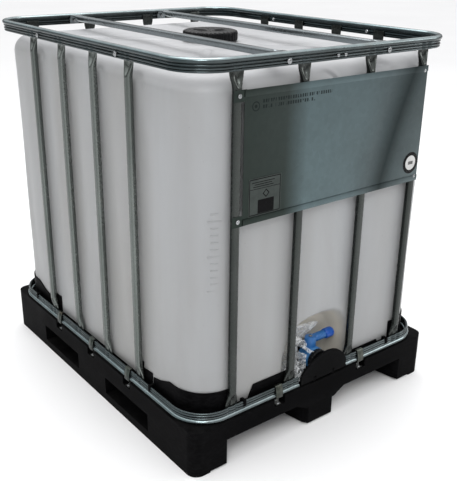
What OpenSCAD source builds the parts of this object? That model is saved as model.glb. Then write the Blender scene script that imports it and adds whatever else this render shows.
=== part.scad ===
// Intermediate bulk container: plastic pallet, tubular cage, blow-moulded bottle, lid and outlet valve.
// Millimetres. Origin at the middle of the footprint on the floor, +Z up, valve side facing -Y.

/* [Overall size] */
// Pallet width, across the valve side
pallet_w = 1000; // [980:1:1020]
// Pallet length, front to back
pallet_l = 1200; // [1180:1:1220]
// Height of the top rail above the floor
total_h = 1180; // [1160:1:1200]

/* [Pallet] */
// Height of the fork pockets, floor to underside of the deck
pocket_h = 88; // [84:1:92]
// Height of the deck's top face
deck_top = 150; // [146:1:154]
// Corner radius of the pallet in plan
pallet_r = 35; // [25:1:45]
// Width of the runner under each skid
runner_w = 60; // [50:1:70]
// Thickness of the runners
runner_h = 28; // [24:1:32]
// Width of a corner foot at the front face
foot_w = 120; // [110:1:130]
// Half width of the middle feet at the front face
mid_foot = 52; // [45:1:56]
// Half length of the feet in the middle of each skid
mid_block = 95; // [85:1:110]
// Distance from the middle to the near face of the end feet
end_block = 357; // [340:1:370]

/* [Cage] */
// Distance from the pallet's edge to the outside of the rails
rail_inset = 4; // [3:1:6]
// Corner radius of the rails, at their outside
rail_r = 115; // [105:1:125]
// Height of a rail
rail_h = 37; // [36:0.5:39]
// Width of a cage bar's tube
bar_w = 24; // [22:0.5:26]
// Thickness of a cage bar's tube
bar_t = 20; // [18:0.5:21]
// Width of a bar's flattened end
tab_w = 45; // [40:1:48]
// Inner and outer bar positions on the valve side and the back
front_bars = [127, 353];
// Inner and outer bar positions on the long sides
side_bars = [97, 292];
// Distance of the cross bars from the middle
cross_x = 190; // [180:1:200]

/* [Front plate] */
// Left edge of the plate
plate_x0 = -337; // [-339:0.5:-335]
// Right edge of the plate
plate_x1 = 366; // [364:0.5:368]
// Lower edge of the plate
plate_z0 = 742; // [730:1:760]
// Upper edge of the plate
plate_z1 = 1098; // [1080:1:1100]

/* [Bottle] */
// Width of the bottle
bottle_w = 940; // [936:1:940]
// Length of the bottle
bottle_l = 1140; // [1136:1:1140]
// Corner radius of the bottle in plan
bottle_r = 110; // [100:1:120]
// Wall thickness of the bottle
bottle_t = 3; // [2.5:0.5:4]
// Height of the bottle's flat top
bottle_top = 1130; // [1124:1:1132]
// Radius of the filling lid
lid_r = 90; // [86:1:94]

/* [Valve] */
// Height of the outlet's axis above the floor
valve_z = 208; // [204:1:212]
// Distance of the valve stem's axis from the middle
stem_y = 537; // [535:1:539]
// Length of the handle, stem axis to tip
handle_l = 95; // [85:1:100]
// Half width of the valve guard
guard_w = 98; // [92:1:100]
// Height of the top of the valve guard
guard_top = 244; // [240:1:248]

/* [Hidden] */
HALF_W = pallet_w / 2;
HALF_L = pallet_l / 2;
SIDES = ["front", "right", "back", "left"];
FOOT_FLOOR = 14;
STEEL = "#8f9694";
BLACK = "#1b1b1c";

// Rails: u is the distance outward from the middle, measured at the straight runs
RAIL_X = HALF_W - rail_inset;
RAIL_Y = HALF_L - rail_inset;
RAIL_GAP = 103;
BEAD_R = 8.8;
MID_R = 4;
LIP_R = 3.6;
WEB_T = 2;
BEAD_T = 1.5;
WEB_OUT = -10;
WEB_IN = WEB_OUT - WEB_T;
// Outermost point of the middle bead, where bolt heads seat
SEAT = WEB_IN + 0.3 + 2 * MID_R;
BOTTOM_RAIL_Z = deck_top + 0.2;
TOP_RAIL_Z = total_h - rail_h;

// Bars: the tab lies 0.1 mm inside the rails' web
BAR_OUT = 1;
TAB_T = 4;
TAB_OUT = WEB_IN - 0.1;
PINCH = 45;
TUBE_R = 6;
TUBE_T = 1.2;

// Fasteners
BOLT_R = 4;
BOLT_HEAD_R = 6.5;
BOLT_NUT_R = 5.4;
BOLT_HOLE = 0.1;
BOLT_Z = TOP_RAIL_Z + 12;
SIDE_BOLT_Y = 240;
RIVET_X = 14;
RIVET_R = 2.5;
PLATE_BOLT_DZ = 14;

// Clips
CLIP_W = 30;
CLIP_T = 2;
CLIP_FOOT_Z = 125;
CLIP_POCKET = 24;
SCREW_IN = 5.5;
SCREW_R = 2.9;
SCREW_HOLE = 3;
SIDE_CLIPS = [-235, 0, 235];
END_CLIPS = [-178, 178];

// Printed label and sticker, laid on the front plate
PRINT_T = 0.3;
LABEL_AT = [-318, 761];
LABEL_SIZE = [112, 104];
STICKER_AT = [330, 803];
STICKER_R = 34;

// Tray
TRAY_FLOOR = 3;
TRAY_T = 3.5;
TRAY_GAP = 0.5;
TRAY_HIGH = 238;
TRAY_MID = 217;
TRAY_LOW = 178;
TRAY_RIGHT = 188;
TRAY_NOTCH = 110;
TRAY_SLOT_Y = 348;
TRAY_SLOT = 8;

// Bottle: the recess over the valve and its outlet stub
BASE_Z = deck_top + TRAY_FLOOR + 0.3;
RECESS_Y = 500;
RECESS_W = 125;
RECESS_Z = 352;
SHOULDER_R = 55;
NECK_R = 74;
NECK_BORE = 68;
NECK_H = 28;
STUB_R = 33;
STUB_BORE = 25;
STUB_L = 12;

// Valve, along -Y from the bottle's outlet stub
BODY_R = 36;
FLANGE_R = 41;
BODY_Y0 = RECESS_Y + STUB_L + 0.3;
BODY_Y1 = 563;
SPIGOT_R = 29;
SPIGOT_Y = 574;
BALL_R = 24;
BALL_BORE = 17;
NUT_Y0 = RECESS_Y + 2;
NUT_Y1 = BODY_Y0 + 9;
NUT_R = 44;
STEM_R = 8;
TOWER_R = 15;
TOWER_Z = valve_z + 44;
HUB_R = 19;
CAP_R = 35;
CAP_Y0 = BODY_Y1 + 1;
CAP_Y1 = 581;
GRIP_Z = TOWER_Z + 12;

// Valve guard and its hinge; the guard and the rail's gap sit a little right of the valve
GUARD_X = 9;
GUARD_Y = HALF_L - 2;
GUARD_T = 4;
PIN_Y = HALF_L - 11;
PIN_Z = 160;
PIN_R = 4;
PIN_CLEAR = 0.08;
BARREL_R = 8;
LUG_X = 40;

BAR_NODES = [for (s = SIDES, i = [1:4]) str("bar_", s, "_", i)];
CLIP_NODES = concat([for (i = [1:3]) str("clip_left_", i)], [for (i = [1:3]) str("clip_right_", i)],
    [for (i = [1:2]) str("clip_front_", i)], [for (i = [1:2]) str("clip_back_", i)]);

// ---------------------------------------------------------------- shared shapes

// Rectangle with round corners, centred
module round_rect(w, l, r) {
    square([w - 2 * r, l], center = true);
    square([w, l - 2 * r], center = true);
    for (x = [-1, 1], y = [-1, 1])
        translate([x * (w / 2 - r), y * (l / 2 - r)]) circle(r = r, $fn = 64);
}

// Turns a shape drawn for the valve side to one of the four sides
module on_side(s) {
    rotate([0, 0, 90 * s]) children();
}

// Distance from the middle to the rails' outside on side s
function rail_half(s) = s % 2 == 0 ? RAIL_Y : RAIL_X;

// Distance from the middle to the pallet's edge on side s
function edge(s) = s % 2 == 0 ? HALF_L : HALF_W;

// Clip positions on side s
function clip_pos(s) = s % 2 == 0 ? END_CLIPS : SIDE_CLIPS;

// Bar positions on side s
function bar_pos(s) = let (p = s % 2 == 0 ? front_bars : side_bars) [-p[1], -p[0], p[0], p[1]];

// Bolt along Y with its head's seat at the origin and its nut's face at depth grip
module bolt(grip) {
    rotate([90, 0, 0]) {
        cylinder(r = BOLT_HEAD_R, h = 4, $fn = 40);
        translate([0, 0, -grip - 5]) cylinder(r = BOLT_R, h = grip + 5, $fn = 32);
        translate([0, 0, -grip - 4]) cylinder(r = BOLT_NUT_R, h = 4, $fn = 6);
    }
}

// Rivet along Y: domed head outside, closed head at depth grip
module rivet(grip) {
    rotate([90, 0, 0]) {
        cylinder(r = 2 * RIVET_R, h = 2.5, $fn = 40);
        translate([0, 0, -grip - 2]) cylinder(r = RIVET_R, h = grip + 2, $fn = 32);
        translate([0, 0, -grip - 1.5]) cylinder(r = 1.6 * RIVET_R, h = 1.5, $fn = 40);
    }
}

// ---------------------------------------------------------------- pallet

module deck_outline() {
    round_rect(pallet_w, pallet_l, pallet_r);
}

module pallet_deck() {
    rim = 10;
    rib = 4;
    skin = 5;
    cols = 8;
    rows = 10;
    cell_w = (pallet_w - 2 * rim - (cols - 1) * rib) / cols;
    cell_l = (pallet_l - 2 * rim - (rows - 1) * rib) / rows;
    color(BLACK) {
        difference() {
            union() {
                difference() {
                    translate([0, 0, pocket_h]) linear_extrude(deck_top - pocket_h) deck_outline();
                    intersection() {
                        for (i = [0:cols - 1], j = [0:rows - 1]) translate([rim - HALF_W + i * (cell_w + rib),
                            rim - HALF_L + j * (cell_l + rib), pocket_h - 1])
                                cube([cell_w, cell_l, deck_top - pocket_h - skin + 1]);
                        linear_extrude(deck_top)
                            round_rect(pallet_w - 2 * rim, pallet_l - 2 * rim, pallet_r - rim);
                    }
                }
                for (s = [0:3], p = clip_pos(s)) on_side(s) translate([p, -edge(s), 0]) clip_boss();
            }
            for (s = [0:3], p = clip_pos(s)) on_side(s) translate([p, -edge(s), 0]) clip_pocket();
        }
        for (x = [-1, 1]) translate([GUARD_X + x * LUG_X, -PIN_Y, 0]) hinge_lug();
    }
}

// Thicker part of the deck's edge behind a clip's pocket
module clip_boss() {
    translate([-CLIP_W / 2 - 12, 1, pocket_h]) cube([CLIP_W + 24, CLIP_POCKET + 8, deck_top - pocket_h]);
}

// Pocket in the deck's edge where a clip's foot is screwed down, with its screw hole
module clip_pocket() {
    translate([-CLIP_W / 2 - 6, -1, CLIP_FOOT_Z]) cube([CLIP_W + 12, CLIP_POCKET + 1, deck_top]);
    translate([0, rail_inset + SCREW_IN, CLIP_FOOT_Z - 20]) cylinder(r = SCREW_HOLE, h = 30, $fn = 32);
}

// Ear on the deck that carries the guard's hinge pin
module hinge_lug() {
    difference() {
        union() {
            translate([-5, -BARREL_R, deck_top - 1]) cube([10, 2 * BARREL_R, PIN_Z - deck_top + 1]);
            translate([-5, 0, PIN_Z]) rotate([0, 90, 0]) cylinder(r = BARREL_R, h = 10, $fn = 48);
        }
        translate([-6, 0, PIN_Z]) rotate([0, 90, 0]) cylinder(r = PIN_R, h = 12, $fn = 40);
    }
}

// Foot outlines at the front left corner; the flanks open a little towards the inside
module corner_foot() {
    intersection() {
        polygon([[-HALF_W, -HALF_L], [foot_w - HALF_W, -HALF_L], [foot_w - HALF_W + 6, -HALF_L + 18],
            [foot_w - HALF_W + 18, -HALF_L + 90], [foot_w - HALF_W + 18, -end_block], [-HALF_W, -end_block]]);
        deck_outline();
    }
}

module middle_end_foot() {
    polygon([[-mid_foot, -HALF_L], [mid_foot, -HALF_L], [mid_foot + 11, -HALF_L + 17],
        [mid_foot + 23, -HALF_L + 80], [mid_foot + 23, -end_block], [-mid_foot - 23, -end_block],
        [-mid_foot - 23, -HALF_L + 80], [-mid_foot - 11, -HALF_L + 17]]);
}

// Body of a foot, standing a little clear of the floor beside its runner
module foot(clear = 5) {
    translate([0, 0, clear]) linear_extrude(pocket_h - clear) children();
}

// Four sides: end feet at front and back, a middle foot, and the runner below
module side_skid() {
    inner = foot_w - HALF_W + 18;
    difference() {
        union() {
            for (m = [0, 1]) mirror([0, m, 0]) foot() corner_foot();
            translate([-HALF_W, -mid_block, 5]) cube([inner + HALF_W, 2 * mid_block, pocket_h - 5]);
            linear_extrude(runner_h) intersection() {
                translate([-HALF_W, -HALF_L]) square([runner_w, pallet_l]);
                deck_outline();
            }
        }
        for (m = [-1, 1]) translate([-HALF_W + 12, m * (HALF_L + end_block) / 2 - 95, FOOT_FLOOR])
            cube([foot_w - 24, 190, pocket_h]);
        translate([-HALF_W + 12, -mid_block + 12, FOOT_FLOOR]) cube([foot_w - 10, 2 * mid_block - 24, pocket_h]);
    }
}

module skid_left() {
    color(BLACK) side_skid();
}

module skid_right() {
    color(BLACK) mirror([1, 0, 0]) side_skid();
}

// The middle skid's front and back feet flare out under the deck
module skid_middle() {
    flare = 24;
    color(BLACK) difference() {
        union() {
            for (m = [0, 1]) mirror([0, m, 0]) {
                foot() middle_end_foot();
                for (n = [0, 1]) mirror([n, 0, 0]) translate([mid_foot + 8, -HALF_L + 30, pocket_h])
                    rotate([90, 0, 0]) linear_extrude(30)
                        polygon([[-10, 0], [2 * flare - 4, 0], [0, -flare], [-10, -flare]]);
            }
            translate([-mid_foot - 23, -mid_block, 5]) cube([2 * mid_foot + 46, 2 * mid_block, pocket_h - 5]);
            translate([-mid_foot + 4, 15 - HALF_L, 0]) cube([2 * mid_foot - 8, pallet_l - 30, runner_h]);
        }
        for (m = [-1, 1]) translate([-mid_foot + 6, m * (HALF_L + end_block) / 2 - 95, FOOT_FLOOR])
            cube([2 * mid_foot - 12, 190, pocket_h]);
        translate([-mid_foot - 11, -mid_block + 12, FOOT_FLOOR])
            cube([2 * mid_foot + 22, 2 * mid_block - 24, pocket_h]);
    }
}

// ---------------------------------------------------------------- tray

module bottle_tray() {
    in_w = bottle_w + 2 * TRAY_GAP;
    in_l = bottle_l + 2 * TRAY_GAP;
    // Depth of the cutters, and the room left beside each outer bar
    cut = 60;
    clear = 20;
    color(BLACK) difference() {
        translate([0, 0, deck_top]) linear_extrude(TRAY_HIGH - deck_top)
            round_rect(in_w + 2 * TRAY_T, in_l + 2 * TRAY_T, bottle_r + TRAY_T);
        translate([0, 0, deck_top + TRAY_FLOOR]) linear_extrude(TRAY_HIGH) round_rect(in_w, in_l, bottle_r);
        // Front and back: low beside the outer bars, a slanted step up, open at the middle of the front
        for (s = [0, 2]) on_side(s) {
            translate([-front_bars[1] + clear, -(in_l + cut) / 2, TRAY_MID])
                cube([2 * (front_bars[1] - clear), cut, TRAY_HIGH]);
            for (n = [0, 1]) mirror([n, 0, 0]) translate([front_bars[1] - clear, (cut - in_l) / 2, 0])
                rotate([90, 0, 0]) linear_extrude(cut) polygon([[0, TRAY_LOW], [0, TRAY_HIGH],
                    [-70, TRAY_HIGH], [-70, TRAY_MID], [-50, TRAY_LOW]]);
        }
        // Long sides: low between the outer bars, with an upstand left beside each outer bar
        for (s = [1, 3]) on_side(s)
            translate([-side_bars[1] + 34, -(in_w + cut) / 2, TRAY_LOW])
                cube([2 * side_bars[1] - 68, cut, TRAY_HIGH]);
        // Long sides: beside each outer bar a stub of wall, a slot, and the corner wall rising from it
        for (s = [1, 3], n = [0, 1]) on_side(s) mirror([n, 0, 0]) translate([0, (cut - in_w) / 2, 0])
            rotate([90, 0, 0]) linear_extrude(cut) polygon([[side_bars[1] + 8, TRAY_HIGH + 1],
                [side_bars[1] + 8, TRAY_MID], [TRAY_SLOT_Y, TRAY_MID + 4], [TRAY_SLOT_Y, TRAY_LOW + 4],
                [TRAY_SLOT_Y + TRAY_SLOT, TRAY_LOW + 4], [TRAY_SLOT_Y + TRAY_SLOT, TRAY_MID - 6],
                [TRAY_SLOT_Y + 40, TRAY_MID], [TRAY_SLOT_Y + 95, TRAY_HIGH + 1]]);
        // Front: lower wall right of the valve, and the notch behind the valve guard
        translate([GUARD_X + TRAY_NOTCH, -(in_l + cut) / 2, TRAY_RIGHT])
            cube([front_bars[1] - clear - GUARD_X - TRAY_NOTCH, cut, TRAY_HIGH]);
        translate([GUARD_X - TRAY_NOTCH, -(in_l + cut) / 2, deck_top + TRAY_FLOOR])
            cube([2 * TRAY_NOTCH, cut, TRAY_HIGH]);
    }
}

// ---------------------------------------------------------------- cage

// Section of a rail: x is 0 at the outside and negative inward, y runs from the lip up to the bead
module rail_section() {
    translate([-BEAD_R, rail_h - BEAD_R]) difference() {
        circle(r = BEAD_R, $fn = 48);
        circle(r = BEAD_R - BEAD_T, $fn = 48);
    }
    translate([WEB_IN, 0]) square([WEB_T, rail_h - 2 * BEAD_R + 1]);
    translate([SEAT - MID_R, rail_h - 23.5]) circle(r = MID_R, $fn = 32);
    translate([WEB_IN + 0.3 + LIP_R, LIP_R + 0.1]) circle(r = LIP_R, $fn = 32);
}

// Full ring of the section: four straight runs and four quarter turns
module rail_ring() {
    for (s = [0:3]) on_side(s) {
        half = rail_half(s);
        other = rail_half(s + 1);
        run = 2 * (other - rail_r);
        translate([-run / 2, -half, 0]) rotate([90, 0, 90]) linear_extrude(run) mirror([1, 0]) rail_section();
        translate([other - rail_r, -half + rail_r, 0]) rotate([0, 0, -90])
            rotate_extrude(angle = 90, $fn = 96) translate([rail_r, 0]) rail_section();
    }
}

module top_rail() {
    color(STEEL) difference() {
        translate([0, 0, TOP_RAIL_Z]) rail_ring();
        for (s = [0, 2], x = [-cross_x, cross_x]) on_side(s) rail_hole(s, x, BOLT_R + BOLT_HOLE);
        for (s = [1, 3], y = [-SIDE_BOLT_Y, SIDE_BOLT_Y]) on_side(s) rail_hole(s, y, BOLT_R + BOLT_HOLE);
        for (x = [-RIVET_X, RIVET_X]) rail_hole(0, x, RIVET_R + BOLT_HOLE);
    }
}

// Hole through the top rail's web and middle bead on side s
module rail_hole(s, p, r) {
    translate([p, -rail_half(s) - 5, BOLT_Z]) rotate([-90, 0, 0]) cylinder(r = r, h = 30, $fn = 32);
}

module bottom_rail() {
    color(STEEL) difference() {
        translate([0, 0, BOTTOM_RAIL_Z + rail_h]) mirror([0, 0, 1]) rail_ring();
        translate([GUARD_X - RAIL_GAP, -HALF_L - 5, 0]) cube([2 * RAIL_GAP, 60, deck_top + 2 * rail_h]);
    }
}

module tube_section(w, t) {
    difference() {
        round_rect(w, t, TUBE_R);
        round_rect(w - 2 * TUBE_T, t - 2 * TUBE_T, TUBE_R - TUBE_T);
    }
}

// Bar at position p on side s: a tube whose ends are pinched flat and tucked behind the rails
module bar(s, p) {
    half = rail_half(s);
    tube_y = -(half - BAR_OUT - bar_t / 2);
    tab_y = -(half + TAB_OUT - TAB_T / 2);
    tip = 2 * BEAD_R + 1;
    low = BOTTOM_RAIL_Z + rail_h;
    run = TOP_RAIL_Z - low - 2 * PINCH;
    color(STEEL) on_side(s) translate([p, 0, 0]) difference() {
        union() {
            translate([0, tube_y, low + PINCH]) linear_extrude(run) tube_section(bar_w, bar_t);
            bar_end(tube_y, tab_y, BOTTOM_RAIL_Z + tip, low, low + PINCH);
            bar_end(tube_y, tab_y, total_h - tip, TOP_RAIL_Z, TOP_RAIL_Z - PINCH);
        }
        // The plate's screws go into the outer wall of the outer front bars
        if (s == 0 && abs(p) == front_bars[1]) for (z = plate_bolt_z())
            translate([0, -half, z]) rotate([-90, 0, 0]) cylinder(r = SCREW_HOLE, h = 8, $fn = 32);
    }
}

// Flattened end from z_tip to z_flat, and the pinch that runs from there to the tube at z_tube
module bar_end(tube_y, tab_y, z_tip, z_flat, z_tube) {
    slice = 0.5;
    translate([-tab_w / 2, tab_y - TAB_T / 2, min(z_tip, z_flat)]) cube([tab_w, TAB_T, abs(z_tip - z_flat)]);
    hull() {
        translate([-tab_w / 2, tab_y - TAB_T / 2, z_flat - slice / 2]) cube([tab_w, TAB_T, slice]);
        translate([0, tube_y, z_tube - slice / 2]) linear_extrude(slice)
            for (x = [-1, 1], y = [-1, 1]) translate([x * (bar_w / 2 - TUBE_R), y * (bar_t / 2 - TUBE_R)])
                circle(r = TUBE_R, $fn = 24);
    }
}

// Cross bar over the bottle: flattened ends step round the rails' top bead and are bolted to the web
module cross_bar(x) {
    top = total_h - 4;
    inner = -2 * BEAD_R - 1;
    flat = -40;
    tube = -70;
    w = 36;
    color(STEEL) translate([x, 0, 0]) difference() {
        union() {
            translate([0, RAIL_Y + tube, top - bar_t / 2]) rotate([90, 0, 0])
                linear_extrude(2 * (RAIL_Y + tube)) tube_section(bar_w, bar_t);
            for (m = [0, 1]) mirror([0, m, 0]) translate([0, -RAIL_Y, 0]) {
                translate([-w / 2, 0, 0]) rotate([90, 0, 90]) linear_extrude(w) mirror([1, 0]) polygon([
                    [TAB_OUT, TOP_RAIL_Z + 2], [TAB_OUT, TOP_RAIL_Z + 18], [inner, TOP_RAIL_Z + 24],
                    [inner, top], [flat, top], [flat, top - TAB_T], [inner - TAB_T, top - TAB_T],
                    [inner - TAB_T, TOP_RAIL_Z + 24.5], [TAB_OUT - TAB_T, TOP_RAIL_Z + 18.5],
                    [TAB_OUT - TAB_T, TOP_RAIL_Z + 2]]);
                hull() {
                    translate([-w / 2, -flat, top - TAB_T]) cube([w, 0.5, TAB_T]);
                    translate([0, -tube + 0.5, top - bar_t / 2]) rotate([90, 0, 0]) linear_extrude(0.5)
                        for (i = [-1, 1], j = [-1, 1])
                            translate([i * (bar_w / 2 - TUBE_R), j * (bar_t / 2 - TUBE_R)])
                                circle(r = TUBE_R, $fn = 24);
                }
            }
        }
        for (m = [0, 1]) mirror([0, m, 0]) translate([0, -RAIL_Y, BOLT_Z]) rotate([-90, 0, 0])
            cylinder(r = BOLT_R + BOLT_HOLE, h = 30, $fn = 32);
    }
}

module cross_bar_left() {
    cross_bar(-cross_x);
}

module cross_bar_right() {
    cross_bar(cross_x);
}

module cross_bar_bolts() {
    color("silver") for (s = [0, 2], x = [-cross_x, cross_x]) on_side(s)
        translate([x, -RAIL_Y - SEAT - 0.05, BOLT_Z]) bolt(SEAT - TAB_OUT + TAB_T + 0.1);
}

module side_rail_bolts() {
    color("silver") for (s = [1, 3], y = [-SIDE_BOLT_Y, SIDE_BOLT_Y]) on_side(s)
        translate([y, -RAIL_X - SEAT - 0.05, BOLT_Z]) bolt(SEAT - WEB_IN + 0.1);
}

module rail_rivets() {
    color("silver") for (x = [-RIVET_X, RIVET_X])
        translate([x, -RAIL_Y - SEAT - 0.05, BOLT_Z]) rivet(SEAT - WEB_IN + 0.1);
}

// ---------------------------------------------------------------- hold-down clips

// Strap over the bottom rail on side s at position p, with its foot in the deck's pocket
module clip(s, p) {
    half = rail_half(s);
    top = BOTTOM_RAIL_Z + rail_h + 0.2;
    inner = WEB_IN - 0.2;
    back = inner - 2;
    color(STEEL) on_side(s) difference() {
        translate([p - CLIP_W / 2, -half, 0]) rotate([90, 0, 90]) linear_extrude(CLIP_W)
            mirror([1, 0]) polygon([[inner - CLIP_T, top - 14], [inner - CLIP_T, top + CLIP_T],
            [WEB_OUT + 6, top + CLIP_T], [0.2 + CLIP_T, top - 20], [0.2 + CLIP_T, deck_top],
            [back + CLIP_T, deck_top - 12],
            [back + CLIP_T, CLIP_FOOT_Z + CLIP_T], [0.2 + CLIP_T, CLIP_FOOT_Z + CLIP_T],
            [0.2 + CLIP_T, CLIP_FOOT_Z], [back, CLIP_FOOT_Z], [back, deck_top - 11],
            [0.2, deck_top + 1.2], [0.2, top - 20.5], [WEB_OUT + 5, top], [inner, top], [inner, top - 14]]);
        translate([p, -half + SCREW_IN, CLIP_FOOT_Z - 1]) cylinder(r = SCREW_HOLE, h = CLIP_T + 2, $fn = 32);
    }
}

module clip_screws() {
    color("silver") for (s = [0:3], p = clip_pos(s))
        on_side(s) translate([p, -rail_half(s) + SCREW_IN, CLIP_FOOT_Z + CLIP_T]) {
            cylinder(r = 5, h = 3, $fn = 40);
            translate([0, 0, -20]) cylinder(r = SCREW_R, h = 20, $fn = 32);
        }
}

// ---------------------------------------------------------------- front plate

PLATE_BACK = RAIL_Y - BAR_OUT;
EAR_W = 34;
EAR_H = 30;

module front_plate() {
    sheet = 1;
    hem = 18;
    color("#8b9a9f") difference() {
        union() {
            translate([plate_x0, -PLATE_BACK - sheet, plate_z0])
                cube([plate_x1 - plate_x0, sheet, plate_z1 - plate_z0]);
            for (z = [plate_z0, plate_z1 - hem])
                translate([plate_x0, -PLATE_BACK - 2 * sheet, z]) cube([plate_x1 - plate_x0, 2 * sheet, hem]);
            for (z = [plate_z0, plate_z1 - EAR_H])
                translate([plate_x0 - EAR_W, -PLATE_BACK - sheet, z]) cube([EAR_W + 5, sheet, EAR_H]);
        }
        for (x = [-1, 1], z = plate_bolt_z()) translate([x * front_bars[1], -PLATE_BACK - 5, z])
            rotate([-90, 0, 0]) cylinder(r = SCREW_HOLE, h = 10, $fn = 32);
    }
}

function plate_bolt_z() = [plate_z0 + PLATE_BOLT_DZ, plate_z1 - PLATE_BOLT_DZ];

module plate_screws() {
    color("silver") for (x = [-1, 1], z = plate_bolt_z())
        translate([x * front_bars[1], -PLATE_BACK - 2, z]) rotate([90, 0, 0]) {
            cylinder(r = 5.5, h = 2, $fn = 40);
            translate([0, 0, -8]) cylinder(r = SCREW_R, h = 8, $fn = 32);
        }
}

module label_panel() {
    color("dimgray") translate([LABEL_AT[0], -PLATE_BACK - 1 - PRINT_T, LABEL_AT[1]])
        cube([LABEL_SIZE[0], PRINT_T, LABEL_SIZE[1]]);
}

module round_sticker() {
    color("white") translate([STICKER_AT[0], -PLATE_BACK - 1, STICKER_AT[1]]) rotate([90, 0, 0])
        cylinder(r = STICKER_R, h = PRINT_T, $fn = 64);
}

// ---------------------------------------------------------------- bottle and lid

// Half of the bottle's upright section, from its middle line to a side wall at half
module shoulder_section(half, grow) {
    r = SHOULDER_R + grow;
    h = bottle_top - BASE_Z + 2 * grow;
    square([half + grow, h - r]);
    square([half + grow - r, h]);
    translate([half + grow - r, h - r]) circle(r = r, $fn = 64);
}

// Block with round corners and a rounded shoulder; grow moves every face outward
module bottle_block(grow) {
    flat_w = bottle_w - 2 * bottle_r;
    flat_l = bottle_l - 2 * bottle_r;
    translate([0, 0, BASE_Z - grow]) {
        for (s = [0:3]) on_side(s) {
            across = s % 2 == 0 ? flat_w : flat_l;
            deep = s % 2 == 0 ? bottle_l / 2 : bottle_w / 2;
            translate([-across / 2, 0, 0]) rotate([90, 0, 90]) linear_extrude(across)
                mirror([1, 0]) shoulder_section(deep, grow);
            translate([across / 2, bottle_r - deep, 0]) rotate([0, 0, -90])
                rotate_extrude(angle = 90, $fn = 96) shoulder_section(bottle_r, grow);
        }
    }
}

// Recess over the valve, with a low arched roof
module recess(grow) {
    half = RECESS_W + grow;
    arch_r = 260;
    rotate([90, 0, 0]) translate([0, 0, RECESS_Y - grow]) linear_extrude(HALF_L - RECESS_Y) intersection() {
        translate([-half, BASE_Z - 20]) square([2 * half, HALF_W]);
        translate([0, RECESS_Z + grow - arch_r]) circle(r = arch_r, $fn = 128);
    }
}

module bottle() {
    color("white") difference() {
        union() {
            difference() {
                bottle_block(0);
                recess(0);
            }
            translate([0, 0, bottle_top - 2]) cylinder(r = NECK_R, h = NECK_H + 2, $fn = 96);
            along_outlet(RECESS_Y - 2) cylinder(r = STUB_R, h = STUB_L + 2, $fn = 64);
        }
        difference() {
            bottle_block(-bottle_t);
            recess(bottle_t);
        }
        translate([0, 0, bottle_top - 20]) cylinder(r = NECK_BORE, h = 60, $fn = 96);
        along_outlet(RECESS_Y - 20) cylinder(r = STUB_BORE, h = 60, $fn = 64);
    }
}

LID_Z = bottle_top + 4;
LID_H = 33;

module fill_lid() {
    ribs = 36;
    seat = bottle_top + NECK_H + 3;
    color(BLACK) difference() {
        union() {
            translate([0, 0, LID_Z]) cylinder(r = lid_r - 2, h = LID_H - 2, $fn = 120);
            translate([0, 0, LID_Z + LID_H - 2]) cylinder(r = lid_r - 12, h = 2, $fn = 96);
            for (i = [0:ribs - 1]) rotate([0, 0, i * 360 / ribs]) translate([lid_r - 3, 0, LID_Z + 3])
                cylinder(r = 3, h = LID_H - 9, $fn = 16);
        }
        translate([0, 0, LID_Z - 1]) cylinder(r = NECK_R + 0.5, h = seat - LID_Z + 1, $fn = 96);
    }
}

module lid_gasket() {
    color("dimgray") translate([0, 0, bottle_top + NECK_H]) difference() {
        cylinder(r = NECK_R - 1, h = 3, $fn = 96);
        translate([0, 0, -1]) cylinder(r = NECK_BORE - 8, h = 5, $fn = 96);
    }
}

// ---------------------------------------------------------------- valve

module along_outlet(y) {
    translate([0, -y, valve_z]) rotate([90, 0, 0]) children();
}

// Union nut: screws on the bottle's stub and holds the valve body's flange
module valve_nut() {
    color(BLACK) difference() {
        along_outlet(NUT_Y0) cylinder(r = NUT_R, h = NUT_Y1 - NUT_Y0, $fn = 64);
        along_outlet(NUT_Y0 - 1) cylinder(r = STUB_R + 0.2, h = NUT_Y1 - NUT_Y0 + 2, $fn = 64);
        along_outlet(BODY_Y0 - 0.2) cylinder(r = FLANGE_R + 0.3, h = 6.4, $fn = 64);
        along_outlet(BODY_Y0) cylinder(r = BODY_R + 0.3, h = NUT_Y1 - BODY_Y0 + 1, $fn = 64);
    }
}

module valve_body() {
    color("#e4e6e4") difference() {
        union() {
            along_outlet(BODY_Y0) cylinder(r = FLANGE_R, h = 6, $fn = 64);
            along_outlet(BODY_Y0) cylinder(r = BODY_R, h = BODY_Y1 - BODY_Y0, $fn = 64);
            along_outlet(BODY_Y1 - 1) cylinder(r = SPIGOT_R, h = SPIGOT_Y - BODY_Y1 + 1, $fn = 64);
            translate([0, -stem_y, valve_z]) cylinder(r = TOWER_R, h = TOWER_Z - valve_z, $fn = 48);
        }
        along_outlet(BODY_Y0 - 1) cylinder(r = BALL_BORE + 3, h = SPIGOT_Y - BODY_Y0 + 2, $fn = 64);
        translate([0, -stem_y, valve_z]) cylinder(r = STEM_R + 0.05, h = TOWER_Z - valve_z + 1, $fn = 48);
        translate([0, -stem_y, valve_z]) sphere(r = BALL_R + 0.3, $fn = 64);
    }
}

// The ball's flat top carries the stem; at rest its bore lies across the outlet
module valve_ball() {
    color("silver") translate([0, -stem_y, valve_z]) difference() {
        sphere(r = BALL_R, $fn = 64);
        translate([-BALL_R - 1, 0, 0]) rotate([0, 90, 0])
            cylinder(r = BALL_BORE, h = 2 * BALL_R + 2, $fn = 48);
        translate([0, 0, BALL_R - 4]) cylinder(r = BALL_R, h = 5, $fn = 48);
    }
}

module valve_stem() {
    foot = valve_z + BALL_R - 4;
    color("silver") translate([0, -stem_y, foot]) cylinder(r = STEM_R, h = GRIP_Z - foot, $fn = 48);
}

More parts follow.
